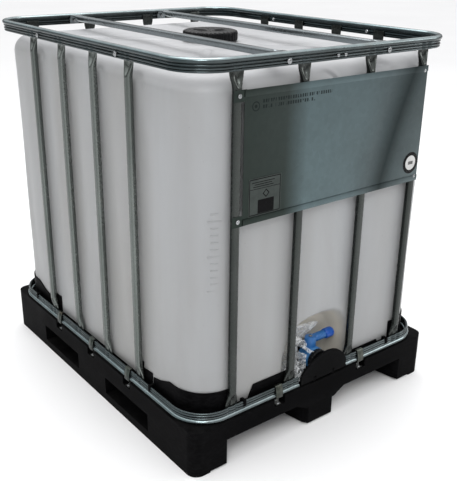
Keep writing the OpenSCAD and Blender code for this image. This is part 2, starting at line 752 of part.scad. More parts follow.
// Lever with a round hub over the stem and a rounded finger grip at the tip
module valve_handle() {
    grip_r = 17;
    color("#1763c4") translate([0, -stem_y, 0]) difference() {
        union() {
            translate([0, 0, TOWER_Z + 1]) cylinder(r = HUB_R, h = 24, $fn = 64);
            translate([0, -8, TOWER_Z + 4]) cube([handle_l - grip_r, 16, 18]);
            translate([handle_l - grip_r, 9, GRIP_Z + 1]) rotate([90, 0, 0])
                cylinder(r = grip_r, h = 18, $fn = 48);
        }
        translate([0, 0, TOWER_Z]) cylinder(r = STEM_R, h = GRIP_Z - TOWER_Z, $fn = 48);
        translate([0, 0, TOWER_Z]) cylinder(r = 3, h = 40, $fn = 32);
    }
}

module handle_screw() {
    color("silver") translate([0, -stem_y, 0]) {
        translate([0, 0, TOWER_Z + 25]) cylinder(r = 6, h = 3, $fn = 40);
        translate([0, 0, GRIP_Z]) cylinder(r = 3, h = TOWER_Z + 25 - GRIP_Z, $fn = 32);
    }
}

module outlet_cap() {
    ribs = 24;
    color(BLACK) difference() {
        union() {
            along_outlet(CAP_Y0) cylinder(r = CAP_R - 1, h = CAP_Y1 - CAP_Y0, $fn = 64);
            for (i = [0:ribs - 1]) along_outlet(CAP_Y0 + 2) rotate([0, 0, i * 360 / ribs])
                translate([CAP_R - 1.5, 0, 0]) cylinder(r = 1.5, h = CAP_Y1 - CAP_Y0 - 4, $fn = 16);
        }
        along_outlet(CAP_Y0 - 1) cylinder(r = SPIGOT_R + 0.5, h = SPIGOT_Y + 3 - CAP_Y0, $fn = 64);
    }
}

module outlet_cap_gasket() {
    color("dimgray") along_outlet(SPIGOT_Y) difference() {
        cylinder(r = SPIGOT_R, h = 2, $fn = 64);
        translate([0, 0, -1]) cylinder(r = 22, h = 4, $fn = 48);
    }
}

// ---------------------------------------------------------------- valve guard

// Bell outline: upright below the spring line, then flanks that rise to a crown leaning to the right
module guard_outline(in = 0) {
    spring = 184;
    lean = 14;
    flank = 1.5;
    steps = 24;
    rise = guard_top - in - spring;
    half = guard_w - in;
    bell = [for (i = [0:steps]) let (t = 180 * i / steps)
        [half * cos(t) + lean * pow(sin(t), 2), spring + rise * pow(sin(t), flank)]];
    polygon(concat([[half, PIN_Z - 2], each bell], [[-half, PIN_Z - 2]]));
}

module valve_guard() {
    wall = 3;
    color(BLACK) translate([GUARD_X, 0, 0]) difference() {
        union() {
            translate([0, -GUARD_Y + GUARD_T, 0]) rotate([90, 0, 0]) linear_extrude(GUARD_T) guard_outline();
            translate([0, -GUARD_Y + GUARD_T + wall, 0]) rotate([90, 0, 0])
                linear_extrude(wall + 1) difference() {
                    guard_outline();
                    guard_outline(4);
                    translate([-guard_w, 0]) square([2 * guard_w, PIN_Z + 12]);
                }
            translate([-LUG_X + 5.5, -PIN_Y, PIN_Z]) rotate([0, 90, 0])
                cylinder(r = BARREL_R, h = 2 * LUG_X - 11, $fn = 48);
        }
        for (x = [-1, 1]) translate([x * LUG_X - 6, -HALF_L - 1, PIN_Z - 10]) cube([12, 30, 20]);
        translate([-LUG_X, -PIN_Y, PIN_Z]) rotate([0, 90, 0])
            cylinder(r = PIN_R + PIN_CLEAR, h = 2 * LUG_X, $fn = 40);
    }
}

module guard_pin() {
    color("silver") translate([GUARD_X - LUG_X - 7, -PIN_Y, PIN_Z]) rotate([0, 90, 0])
        cylinder(r = PIN_R, h = 2 * LUG_X + 14, $fn = 40);
}

// Slack dust bag pushed back to the left of the valve, drawn as a plain bent sheet
module dust_bag() {
    color("white") difference() {
        translate([-92, -580, 200]) cube([40, 76, 108]);
        translate([-88, -576, 190]) cube([40, 68, 114]);
    }
}

// ---------------------------------------------------------------- nodes

pallet_deck();
skid_left();
skid_middle();
skid_right();
bottle_tray();
bottom_rail();
top_rail();
for (s = [0:3], i = [0:3]) bar(s, bar_pos(s)[i]);
cross_bar_left();
cross_bar_right();
cross_bar_bolts();
side_rail_bolts();
rail_rivets();
for (i = [0:2]) clip(3, SIDE_CLIPS[i]);
for (i = [0:2]) clip(1, SIDE_CLIPS[i]);
for (i = [0:1]) clip(0, END_CLIPS[i]);
for (i = [0:1]) clip(2, END_CLIPS[i]);
clip_screws();
front_plate();
plate_screws();
label_panel();
round_sticker();
bottle();
fill_lid();
lid_gasket();
valve_nut();
valve_body();
valve_ball();
valve_stem();
valve_handle();
handle_screw();
outlet_cap();
outlet_cap_gasket();
valve_guard();
guard_pin();
dust_bag();
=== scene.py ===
import math
import random

import bmesh
import bpy
import numpy as np
from mathutils import Matrix, Vector

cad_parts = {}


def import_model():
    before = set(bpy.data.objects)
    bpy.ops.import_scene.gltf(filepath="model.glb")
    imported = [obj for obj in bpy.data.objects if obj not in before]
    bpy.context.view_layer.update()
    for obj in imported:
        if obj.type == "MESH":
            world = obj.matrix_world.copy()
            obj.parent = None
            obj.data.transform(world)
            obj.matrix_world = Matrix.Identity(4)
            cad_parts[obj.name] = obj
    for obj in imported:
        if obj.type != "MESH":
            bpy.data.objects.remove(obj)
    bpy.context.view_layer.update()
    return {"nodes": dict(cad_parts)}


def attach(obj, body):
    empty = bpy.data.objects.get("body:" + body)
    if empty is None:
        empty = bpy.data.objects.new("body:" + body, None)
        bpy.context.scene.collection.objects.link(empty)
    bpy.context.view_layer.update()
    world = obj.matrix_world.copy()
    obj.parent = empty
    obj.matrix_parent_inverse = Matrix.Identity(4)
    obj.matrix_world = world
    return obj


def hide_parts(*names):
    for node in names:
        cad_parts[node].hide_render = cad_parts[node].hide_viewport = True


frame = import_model()
NODES = frame["nodes"]
SCENE = bpy.context.scene
MM = 0.001

# ---------------------------------------------------------------- sizes, in mm, as in the CAD source

SIDES = ("front", "right", "back", "left")
AXES = ("-Y", "X", "Y", "-X")           # the way out of each side

RAIL_X, RAIL_Y, RAIL_R = 496, 596, 115  # half width, half length and corner radius at the rails' outside
RAIL_H = 37
TOP_Z, BOTTOM_Z = 1143, 150.2
VALVE_GAP = (-94, 112)
CRIMP = 13                              # from the middle of a bar to the crimp on each side of it
BIG_BEADS = (166.5, 1163.5)             # the big beads lie below the first and above the second

FRONT_BARS, SIDE_BARS = (-353, -127, 127, 353), (-292, -97, 97, 292)
LEFT_SIDE = -470                        # everything beyond this is on the left side of the cage
TUBE_W, TUBE_T, TUBE_CORNER, TUBE_U = 24, 20, 8, -11
FLAT_W, FLAT_T, FLAT_CORNER, TAB_U = 45, 4, 1.6, -14.1
SEAT_U = -3.7
CROSS_X, CROSS_Z, STRAP_Z = 190, 1166, 1174
SIDE_BOLT_Y, BOLT_Z, RIVET_X = 240, 1155, 14
CLIP_SIDE_Y, CLIP_FRONT_X = (-235, 0, 235), (-178, 178)

PLATE_X, PLATE_Z = (-337, 366), (742, 1098)
PLATE_FACE, PLATE_BACK, HEM_FACE, HEM_H = -596.0, -595.0, -597.9, 17.5
PLATE_SCREW_X, PLATE_SCREW_Z = (-353, 353), (756, 1084)
LABEL_X, LABEL_Z = (-318, -206), (761, 865)
STICKER_X, STICKER_Z, STICKER_R = 330, 803, 34

B_X, B_Y, B_R, B_FOOT, B_TOP = 470, 570, 110, 153.3, 1130
RECESS_Y, RECESS_W, RECESS_TOP = -380, 125, 352
VALVE_Z, STEM_Y = 208, -537


# ---------------------------------------------------------------- shader helpers

def node(t, kind, props=None, ins=None):
    """New shader node; ins gives each input a value or the socket that feeds it"""
    n = t.nodes.new("ShaderNode" + kind)
    for k, v in (props or {}).items():
        setattr(n, k, v)
    for k, v in (ins or {}).items():
        if isinstance(v, bpy.types.NodeSocket):
            t.links.new(v, n.inputs[k])
        else:
            n.inputs[k].default_value = v
    return n


def noise(t, co, scale, detail=3.0, rough=0.55, stretch=None, distort=0.0):
    if stretch:
        co = node(t, "Mapping", ins={"Vector": co, "Scale": stretch}).outputs[0]
    n = node(t, "TexNoise", ins={"Vector": co, "Scale": scale, "Detail": detail, "Roughness": rough,
                                 "Distortion": distort})
    return n.outputs["Fac"]


def ramp(t, fac, stops):
    n = node(t, "ValToRGB", ins={0: fac})
    el = n.color_ramp.elements
    while len(el) < len(stops):
        el.new(0.5)
    for e, (p, c) in zip(el, stops):
        e.position = p
        e.color = (*c, 1) if isinstance(c, tuple) else (c, c, c, 1)
    return n.outputs[0]


def fit(t, fac, a, b, lo=0.3, hi=0.7):
    """fac from lo..hi becomes a..b"""
    return node(t, "MapRange", ins={0: fac, 1: lo, 2: hi, 3: a, 4: b}).outputs[0]


def mix(t, fac, a, b, mode="MIX"):
    n = node(t, "Mix", {"data_type": "RGBA", "blend_type": mode}, {0: fac, 6: a, 7: b})
    return n.outputs[2]


def calc(t, op, a, b=0.0):
    return node(t, "Math", {"operation": op}, {0: a, 1: b}).outputs[0]


def add(t, a, b):
    return calc(t, "ADD", a, b)


def sub(t, a, b):
    return calc(t, "SUBTRACT", a, b)


def mul(t, a, b):
    return calc(t, "MULTIPLY", a, b)


def top_of(t, a, b):
    return calc(t, "MAXIMUM", a, b)


def below(t, a, b):
    return calc(t, "LESS_THAN", a, b)


def above(t, a, b):
    return calc(t, "GREATER_THAN", a, b)


def bump(t, height, distance, strength=1.0, under=None):
    ins = {"Height": height, "Distance": distance, "Strength": strength}
    if under is not None:
        ins["Normal"] = under
    return node(t, "Bump", None, ins).outputs[0]


def shader(name, base=(0.5, 0.5, 0.5), rough=0.5, metal=0.0, **sockets):
    m = bpy.data.materials.new(name)
    m.use_nodes = True
    t = m.node_tree
    b = t.nodes["Principled BSDF"]
    b.inputs["Base Color"].default_value = (*base, 1)
    b.inputs["Roughness"].default_value = rough
    b.inputs["Metallic"].default_value = metal
    for k, v in sockets.items():
        b.inputs[k.replace("_", " ")].default_value = v
    co = node(t, "TexCoord").outputs["Object"]
    return m, t, b, co


def link(t, b, **outs):
    for k, v in outs.items():
        t.links.new(v, b.inputs[k.replace("_", " ")])


def split(t, co):
    return node(t, "SeparateXYZ", ins={0: co}).outputs


def between(t, v, lo, hi):
    return mul(t, above(t, v, lo), below(t, v, hi))


def box_mask(t, u, v, cx, cy, w, h):
    a = below(t, calc(t, "ABSOLUTE", sub(t, u, cx)), w / 2)
    b = below(t, calc(t, "ABSOLUTE", sub(t, v, cy)), h / 2)
    return mul(t, a, b)


def radius(t, u, v, cx, cy):
    du, dv = sub(t, u, cx), sub(t, v, cy)
    return calc(t, "SQRT", add(t, mul(t, du, du), mul(t, dv, dv)))


def tint(t, tone, gain):
    return mix(t, 1.0, tone, gain, "MULTIPLY")


def spangle(t, co, scale):
    """Grey level of each crystal in a zinc coat"""
    cells = node(t, "TexVoronoi", ins={"Vector": co, "Scale": scale, "Randomness": 1.0}).outputs["Color"]
    return node(t, "RGBToBW", ins={0: cells}).outputs[0]


# ---------------------------------------------------------------- materials

def steel(name, dark, light, rough, crystals=0.12, grain=(1, 1, 1), brown=0.0, scratch=0.0, bright_below=0.0,
          painted_light=0.0, bead=False, left=(0.58, 0.68, 0.70), left_side=1.0):
    """Zinc-coated steel: faint spangle, a cloudy oxide film, rubbed streaks, a brighter foot if asked, and
    painted light by the way it faces and on the left side if asked
    """
    m, t, b, co = shader(name, metal=0.92, Specular_IOR_Level=0.5)
    at = split(t, co)
    cloud = noise(t, co, 9, 4, 0.6, grain)
    cells = spangle(t, co, 110)
    tone = mix(t, fit(t, cloud, 0, 1, 0.32, 0.68), (*dark, 1), (*light, 1))
    tone = mix(t, crystals, tone, tint(t, tone, ramp(t, cells, [(0.15, 0.78), (0.85, 1.2)])))
    fine = noise(t, co, 260, 3, 0.6, grain)
    if brown:
        stain = fit(t, noise(t, co, 21, 5, 0.65), 0, brown, 0.58, 0.74)
        tone = mix(t, stain, tone, (0.17, 0.12, 0.085, 1))
    if painted_light:
        # painted highlight where it faces up, painted shade where it faces down or to the left
        way = split(t, node(t, "NewGeometry").outputs["Normal"])
        up = fit(t, way["Z"], 0, 1, -1.0, 1.0)
        shade = ramp(t, up, [(0.30, 0.50), (0.50, 0.85), (0.60, 1.0), (0.80, 1.0 + painted_light)])
        # on the rails the painted highlight lies only on the big beads, and the rest gets a flatter painted
        # shade
        if bead:
            low, high = (z * MM for z in BIG_BEADS)
            big = top_of(t, below(t, at["Z"], low), above(t, at["Z"], high))
            shade = mix(t, big, ramp(t, up, [(0.30, 0.60), (0.50, 0.72), (0.80, 0.88)]), shade)
        tone = tint(t, tone, shade)
        painted_left_shade = [(0.0, left), (0.35, (0.95, 0.98, 0.98)), (0.9, (1.05, 1.05, 1.05))]
        tone = tint(t, tone, ramp(t, fit(t, way["X"], 0, 1, -1.0, 1.0), painted_left_shade))
    if left_side != 1.0:
        # a gain for the left side, where the stage gives the bars less light than the photo does
        on_left = below(t, at["X"], LEFT_SIDE * MM)
        tone = mix(t, on_left, tone, tint(t, tone, (left_side, left_side, left_side, 1)))
    if bright_below:
        low = below(t, at["Z"], bright_below)
        tone = mix(t, mul(t, low, 0.7), tone, (0.40, 0.41, 0.40, 1))
    r = add(t, fit(t, cloud, rough - 0.05, rough + 0.06), fit(t, fine, -0.03, 0.04))
    r = add(t, r, fit(t, cells, -0.02, 0.02, 0.2, 0.8))
    height = add(t, mul(t, fine, 0.35), mul(t, cells, 0.10))
    n = bump(t, height, 0.00012, 0.25)
    if scratch:
        n = bump(t, noise(t, co, 35, 2, 0.5, (1, 1, 9)), 0.0006, scratch, n)
    link(t, b, Base_Color=tone, Roughness=r, Normal=n)
    return m


def black_plastic(name, base, rough, grain=900, spec=0.016):
    """Moulded black plastic: fine texture, scuffed edges, dust on what faces up"""
    dust, wear, gloss_var = 0.08, 0.10, 0.06
    m, t, b, co = shader(name, Specular_IOR_Level=spec)
    geo = node(t, "NewGeometry").outputs
    up = top_of(t, split(t, geo["Normal"])["Z"], 0.0)
    patch = noise(t, co, 14, 5, 0.62)
    dusty = mul(t, fit(t, patch, 0.25, 1.0, 0.38, 0.66), mul(t, up, dust))
    scuff = noise(t, co, 55, 4, 0.7, (1, 1, 2.6))
    edge = mul(t, fit(t, geo["Pointiness"], 0, 1, 0.515, 0.58), fit(t, scuff, 0, 1, 0.42, 0.62))
    tone = mix(t, fit(t, patch, 0, 1, 0.35, 0.7), (*base, 1), tuple(c * 1.5 + 0.0006 for c in base) + (1,))
    tone = mix(t, mul(t, edge, wear), tone, (0.030, 0.030, 0.032, 1))
    tone = mix(t, dusty, tone, (0.06, 0.059, 0.056, 1))
    fine = noise(t, co, grain, 2, 0.6)
    r = add(t, fit(t, patch, rough - gloss_var, rough + gloss_var), fit(t, fine, -0.04, 0.05))
    link(t, b, Base_Color=tone, Roughness=r, Normal=bump(t, patch, 0.002, 0.12, bump(t, fine, 0.0003, 0.5)))
    return m


def make_hdpe():
    """Milky blow-moulded plastic: clouds, upright streaks and smears, darker towards its foot, small specks,
    and painted light in the valve recess and on the top
    """
    m, t, b, co = shader("white_hdpe", rough=0.42, Subsurface_Weight=0.15, Subsurface_Scale=0.04,
                         Specular_IOR_Level=0.42)
    b.inputs["Subsurface Radius"].default_value = (1.0, 1.0, 1.0)
    at = split(t, co)
    cloud = noise(t, co, 2.3, 4, 0.55, (1, 1, 0.35))
    tone = mix(t, fit(t, cloud, 0, 1, 0.32, 0.68), (0.292, 0.291, 0.284, 1), (0.336, 0.344, 0.353, 1))
    smear = noise(t, co, 5.5, 6, 0.7, (1, 1, 0.25), 0.4)
    streak = noise(t, co, 6.0, 3, 0.5, (1, 1, 0.06))
    tone = mix(t, fit(t, streak, 0, 0.5, 0.42, 0.66), tone, (0.375, 0.388, 0.402, 1))
    tone = mix(t, fit(t, smear, 0, 0.16, 0.55, 0.75), tone, (0.245, 0.241, 0.226, 1))
    # darker towards the foot
    low = fit(t, add(t, at["Z"], mul(t, cloud, 0.10)), 0.30, 0.0, 0.17, 0.36)
    tone = mix(t, low, tone, (0.218, 0.212, 0.194, 1))
    # painted light in the valve recess: a brighter, warmer wall standing in for light shining through and
    # bouncing into the hollow
    painted_recess_light = mul(t, fit(t, at["Y"], 0, 1, -0.572, -0.535),
               fit(t, calc(t, "ABSOLUTE", at["X"]), 1, 0, 0.130, 0.170))
    painted_recess_light = mul(t, painted_recess_light, fit(t, at["Z"], 1, 0, 0.365, 0.385))
    painted_recess_light = mul(t, painted_recess_light, below(t, at["Y"], -0.40))
    tone = mix(t, mul(t, painted_recess_light, 0.85), tone, (0.62, 0.585, 0.505, 1))
    # painted light: the top is paler, as if lit from above
    top = fit(t, at["Z"], 0, 1, 1.090, 1.120)
    painted_top_light = mix(t, fit(t, cloud, 0, 1, 0.35, 0.65), (0.36, 0.365, 0.375, 1), (0.46, 0.465, 0.475, 1))
    tone = mix(t, top, tone, painted_top_light)
    speck = fit(t, noise(t, co, 160, 2, 0.5), 0, 0.5, 0.72, 0.80)
    tone = mix(t, speck, tone, (0.21, 0.20, 0.185, 1))
    fine = noise(t, co, 520, 3, 0.6)
    r = add(t, fit(t, smear, 0.36, 0.50), fit(t, fine, -0.03, 0.04))
    n = bump(t, noise(t, co, 7, 3, 0.5, (1, 1, 0.5)), 0.006, 0.35)
    n = bump(t, noise(t, co, 34, 3, 0.55), 0.0012, 0.25, n)
    link(t, b, Base_Color=tone, Roughness=r, Normal=bump(t, fine, 0.0003, 0.35, n))
    return m


def make_plate():
    """Dark sheet steel: soft vertical bands of painted reflection, rolled grain, faint scratches and stains,
    generic marks
    """
    m, t, b, co = shader("plate_steel", metal=0.95, Specular_IOR_Level=0.5)
    at = split(t, co)
    x, z = at["X"], at["Z"]
    # painted reflection: soft light and dark upright bands, leaning across the sheet
    lean = mul(t, sub(t, z, 0.92), fit(t, x, 0.0, -0.36, -0.05, 0.20))
    waver = mul(t, noise(t, co, 2.2, 2, 0.5, (1, 1, 0.4)), 0.07)
    wave = add(t, add(t, x, lean), waver)
    painted_reflection = ramp(t, fit(t, wave, 0, 1, -0.30, 0.44), [
        (0.0, (0.029, 0.038, 0.034)), (0.19, (0.038, 0.049, 0.046)), (0.29, (0.103, 0.143, 0.152)),
        (0.58, (0.098, 0.132, 0.140)), (0.69, (0.078, 0.101, 0.106)), (0.80, (0.016, 0.025, 0.026)),
        (0.87, (0.062, 0.080, 0.083)), (1.0, (0.092, 0.116, 0.120))])
    tone = mix(t, 0.15, painted_reflection, tint(t, painted_reflection, ramp(t, spangle(t, co, 75), [(0.15, 0.72), (0.85, 1.25)])))
    cloud = noise(t, co, 6, 5, 0.65)
    tone = mix(t, fit(t, cloud, 0, 0.16, 0.45, 0.7), tone, (0.055, 0.060, 0.056, 1))
    # painted reflection: the left part darkens downward
    gloom = mul(t, fit(t, x, 1, 0, -0.20, -0.12), fit(t, z, 1, 0, 0.76, 1.02))
    tone = mix(t, mul(t, gloom, 0.55), tone, (0.018, 0.026, 0.022, 1))
    # a ring with a dot, and two rows of plain dashes
    far = radius(t, x, z, -0.300, 1.053)
    ink = top_of(t, between(t, far, 0.0098, 0.0126), below(t, far, 0.0045))
    cell = calc(t, "FRACT", calc(t, "DIVIDE", x, 0.0084))
    dash = mul(t, below(t, cell, 0.66), above(t, noise(t, co, 120, 0, 0.5, (1, 0, 0.25)), 0.40))
    rows = top_of(t, box_mask(t, x, z, -0.155, 1.064, 0.244, 0.009),
                  box_mask(t, x, z, -0.185, 1.050, 0.184, 0.009))
    ink = top_of(t, ink, mul(t, rows, dash))
    tone = mix(t, mul(t, ink, 0.85), tone, (0.012, 0.016, 0.016, 1))
    roll = noise(t, co, 22, 4, 0.6, (14, 1, 1))
    r = add(t, fit(t, cloud, 0.30, 0.42), fit(t, roll, -0.04, 0.05))
    n = bump(t, noise(t, co, 4.5, 2, 0.5, (1, 1, 0.6)), 0.004, 0.16)
    n = bump(t, roll, 0.0002, 0.22, n)
    link(t, b, Base_Color=tone, Roughness=r, Normal=bump(t, noise(t, co, 300, 3, 0.6), 0.00015, 0.3, n))
    return m


def make_label():
    """Printed box: outline, a black square, a small diamond and plain rules"""
    m, t, b, co = shader("printed_label", Specular_IOR_Level=0.06)
    at = split(t, co)
    x, z = at["X"], at["Z"]
    cx, cz = sum(LABEL_X) / 2 * MM, sum(LABEL_Z) / 2 * MM
    w, h = (LABEL_X[1] - LABEL_X[0]) * MM, (LABEL_Z[1] - LABEL_Z[0]) * MM
    outer = box_mask(t, x, z, cx, cz, w - 0.004, h - 0.004)
    ink = sub(t, outer, box_mask(t, x, z, cx, cz, w - 0.009, h - 0.009))
    ink = top_of(t, ink, box_mask(t, x, z, cx + 0.004, cz - 0.028, 0.056, 0.038))
    dx = calc(t, "ABSOLUTE", sub(t, x, cx + 0.004))
    dz = calc(t, "ABSOLUTE", sub(t, z, cz + 0.006))
    diamond = between(t, add(t, dx, dz), 0.008, 0.012)
    rules = box_mask(t, x, z, cx, cz + 0.022, w - 0.010, 0.0016)
    for up, wide in ((0.040, 0.078), (0.034, 0.060), (0.028, 0.070)):
        rules = top_of(t, rules, box_mask(t, x, z, cx - 0.006, cz + up, wide, 0.0022))
    ink = top_of(t, top_of(t, ink, rules), diamond)
    ink = mul(t, ink, fit(t, noise(t, co, 130, 5, 0.7), 1.0, 0.88, 0.55, 0.75))
    cloud = noise(t, co, 40, 4, 0.6)
    tone = mix(t, fit(t, cloud, 0, 1), (0.040, 0.048, 0.045, 1), (0.054, 0.063, 0.059, 1))
    tone = mix(t, ink, tone, (0.0015, 0.0015, 0.0018, 1))
    link(t, b, Base_Color=tone, Roughness=fit(t, cloud, 0.34, 0.5),
         Normal=bump(t, noise(t, co, 700, 3, 0.6), 0.0001, 0.4))
    return m


def make_sticker():
    """Round paper sticker: thick black ring round a white field with one plain dark bar"""
    m, t, b, co = shader("paper_sticker", Specular_IOR_Level=0.08)
    at = split(t, co)
    cx, cz = STICKER_X * MM, STICKER_Z * MM
    ring = between(t, radius(t, at["X"], at["Z"], cx, cz), 0.0230, 0.0350)
    mark = box_mask(t, at["X"], at["Z"], cx, cz, 0.022, 0.010)
    ink = top_of(t, ring, mul(t, mark, 0.8))
    ink = mul(t, ink, fit(t, noise(t, co, 220, 3, 0.7), 1, 0.8, 0.55, 0.75))
    cloud = noise(t, co, 60, 4, 0.6)
    tone = mix(t, fit(t, cloud, 0, 1), (0.50, 0.50, 0.49, 1), (0.60, 0.60, 0.59, 1))
    tone = mix(t, ink, tone, (0.002, 0.002, 0.0025, 1))
    link(t, b, Base_Color=tone, Roughness=fit(t, cloud, 0.40, 0.55),
         Normal=bump(t, noise(t, co, 900, 2, 0.6), 0.0001, 0.5))
    return m


def make_blue():
    """Blue moulded plastic, deeper at the grip's tip"""
    m, t, b, co = shader("blue_plastic", Subsurface_Weight=0.06, Subsurface_Scale=0.01,
                         Specular_IOR_Level=0.5)
    cloud = noise(t, co, 45, 4, 0.6)
    tip = fit(t, split(t, co)["X"], 0, 1, 0.056, 0.060)
    tone = mix(t, tip, (0.018, 0.120, 0.345, 1), (0.003, 0.072, 0.370, 1))
    tone = mix(t, fit(t, cloud, 0, 0.35, 0.5, 0.7), tone, (0.03, 0.16, 0.44, 1))
    fine = noise(t, co, 800, 2, 0.6)
    r = add(t, fit(t, cloud, 0.26, 0.40), fit(t, fine, -0.03, 0.04))
    link(t, b, Base_Color=tone, Roughness=r, Normal=bump(t, fine, 0.0002, 0.4))
    return m


def make_film():
    """Clear polyethylene film: thin, glossy, creased"""
    m, t, b, co = shader("clear_film", (0.90, 0.93, 0.95), 0.12, Specular_IOR_Level=1.0, Coat_Weight=1.0,
                         Coat_Roughness=0.05)
    crease = noise(t, co, 60, 4, 0.65, None, 1.4)
    n = bump(t, noise(t, co, 240, 3, 0.6, None, 0.8), 0.0008, 0.6, bump(t, crease, 0.005, 0.8))
    link(t, b, Alpha=fit(t, crease, 0.14, 0.66, 0.40, 0.66), Roughness=fit(t, crease, 0.06, 0.22), Normal=n)
    return m


def plain(name, dark, light, rough, scale, grain):
    """Plain moulded plastic or rubber: slight clouds and a fine grain"""
    m, t, b, co = shader(name)
    cloud = noise(t, co, scale, 4, 0.6)
    fine = noise(t, co, grain, 3, 0.6)
    r = add(t, fit(t, cloud, rough - 0.06, rough + 0.08), fit(t, fine, -0.03, 0.04))
    link(t, b, Base_Color=mix(t, fit(t, cloud, 0, 1), (*dark, 1), (*light, 1)), Roughness=r,
         Normal=bump(t, fine, 0.0002, 0.45))
    return m


GALV = steel("galvanised_steel", (0.082, 0.097, 0.099), (0.130, 0.150, 0.154), 0.20, brown=0.12, painted_light=1.9,
             bead=True)
TUBE = steel("galvanised_tube", (0.046, 0.050, 0.047), (0.072, 0.077, 0.073), 0.24, 0.10, (1, 1, 0.3), 0.04,
             0.04, painted_light=0.8, left=(0.65, 0.68, 0.68), left_side=3.2)
# painted light: the cross bars get a lighter copy of the tube steel, for the light on their tops
CROSS = steel("galvanised_cross_bar", (0.20, 0.225, 0.235), (0.27, 0.30, 0.312), 0.22, 0.08, (1, 0.3, 1))
CLIP = steel("galvanised_clip", (0.050, 0.054, 0.046), (0.092, 0.098, 0.085), 0.30, brown=0.5,
             bright_below=0.139, painted_light=0.6)
ZINC = steel("zinc_hardware", (0.24, 0.25, 0.255), (0.38, 0.39, 0.40), 0.22)
INNER = steel("steel_inner", (0.34, 0.35, 0.36), (0.48, 0.49, 0.50), 0.25)
PLATE = make_plate()
PALLET = black_plastic("black_plastic", (0.0017, 0.0017, 0.0019), 0.52)
TRAY = black_plastic("black_tray", (0.0014, 0.0014, 0.0016), 0.46, 1100)
LID = black_plastic("black_lid", (0.0022, 0.0023, 0.0028), 0.27, 1300, spec=0.20)
GUARD = black_plastic("black_guard", (0.0014, 0.0015, 0.0017), 0.38, 1100, spec=0.022)
HDPE = make_hdpe()
LABEL, STICKER, BLUE, FILM = make_label(), make_sticker(), make_blue(), make_film()
RUBBER = plain("seal_rubber", (0.020, 0.020, 0.021), (0.035, 0.034, 0.033), 0.62, 80, 900)
VALVE = plain("valve_plastic", (0.030, 0.14, 0.33), (0.045, 0.18, 0.40), 0.38, 50, 700)


# ---------------------------------------------------------------- mesh helpers, in mm

class Geo:
    """Vertices and faces of one piece, in mm in the row frame"""

    def __init__(self):
        self.v, self.f = [], []

    def loft(self, rings, wrap=True, caps=(True, True), closed=False):
        """Skin over rings of the same length; closed joins the last ring to the first"""
        a = np.asarray(rings, float)
        m, n = a.shape[:2]
        base = len(self.v)
        self.v += a.reshape(-1, 3).tolist()
        for i in range(m if closed else m - 1):
            i2 = (i + 1) % m
            for j in range(n if wrap else n - 1):
                k = (j + 1) % n
                self.f.append((base + i * n + j, base + i * n + k, base + i2 * n + k, base + i2 * n + j))
        if not closed and caps[0]:
            self.f.append(tuple(base + j for j in range(n))[::-1])
        if not closed and caps[1]:
            self.f.append(tuple(base + (m - 1) * n + j for j in range(n)))
        return self

    def revolve(self, profile, origin=(0, 0, 0), axis="Z", n=48, ribs=None, closed=False):
        """profile is (radius, distance along the axis); ribs(angle, i) adds to the radius"""
        ang = np.arange(n) * 2 * math.pi / n
        rings = []
        for i, (r, a) in enumerate(profile):
            rr = np.full(n, float(r)) if ribs is None else r + ribs(ang, i)
            c, s, h = rr * np.cos(ang), rr * np.sin(ang), np.full(n, float(a))
            pts = {"Z": (c, s, h), "-Z": (s, c, -h), "Y": (s, h, c), "-Y": (c, -h, s), "X": (h, c, s),
                   "-X": (-h, s, c)}[axis]
            rings.append(np.stack(pts, 1) + np.array(origin, float))
        return self.loft(rings, closed=closed)

    def move(self, fn):
        """Moves each vertex"""
        self.v = [fn(v) for v in self.v]
        return self


def make(name, geo, material, body="container", sharp=35, recalc=True):
    me = bpy.data.meshes.new(name)
    me.from_pydata([(x * MM, y * MM, z * MM) for x, y, z in geo.v], [], geo.f)
    me.validate()
    if recalc:
        bm = bmesh.new()
        bm.from_mesh(me)
        bmesh.ops.recalc_face_normals(bm, faces=bm.faces)
        bm.to_mesh(me)
        bm.free()
    ob = bpy.data.objects.new(name, me)
    SCENE.collection.objects.link(ob)
    for face in me.polygons:
        face.use_smooth = True
    me.set_sharp_from_angle(angle=math.radians(sharp))
    me.materials.append(material)
    # a material whose name is in the loaded frame already has .001 after it
    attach(ob, body)
    return ob


def remake(node, how, geo, material, body="container", sharp=35, recalc=True):
    """A piece that's seen in place of a CAD node, named after it and how it's made"""
    ob = make(f"{node}_{how}", geo, material, body, sharp, recalc)
    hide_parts(node)
    return ob


def turned(s, x, y):
    """A point of the front side, turned to side s"""
    for _ in range(s):
        x, y = -y, x
    return x, y


def half(s):
    """From the middle of the cage to the outside of the rails on side s"""
    return RAIL_X if s % 2 else RAIL_Y


def side_point(s, p, u, z):
    """Point at p along side s, u outward from the rails' outside, as the CAD source's sides turn"""
    return (*turned(s, p, -(half(s) + u)), z)


def bars_on(s):
    return SIDE_BARS if s % 2 else FRONT_BARS


def clamp(t):
    return min(1.0, max(0.0, t))


def smooth(t):
    t = clamp(t)
    return t * t * (3 - 2 * t)


def stations(lo, hi, marks, step, fine, reach):
    """Positions from lo to hi: step apart, and fine apart within reach of each mark"""
    out = set(np.round(np.linspace(lo, hi, max(2, int((hi - lo) / step) + 1)), 3))
    for m in marks:
        out |= {round(float(v), 3) for v in np.arange(m - reach, m + reach + 0.01, fine) if lo < v < hi}
    out = sorted(out)
    keep = [out[0]]
    for v in out[1:]:
        if v - keep[-1] > fine * 0.45:
            keep.append(v)
    keep[-1] = hi
    return keep


def sheet_outline(line, t):
    """Closed outline of sheet of thickness t along a line"""
    pts = np.array(line, float)
    d = np.gradient(pts, axis=0)
    d /= np.linalg.norm(d, axis=1)[:, None]
    n = np.stack([-d[:, 1], d[:, 0]], 1)
    return np.concatenate([pts + n * t / 2, (pts - n * t / 2)[::-1]])


# ---------------------------------------------------------------- rails

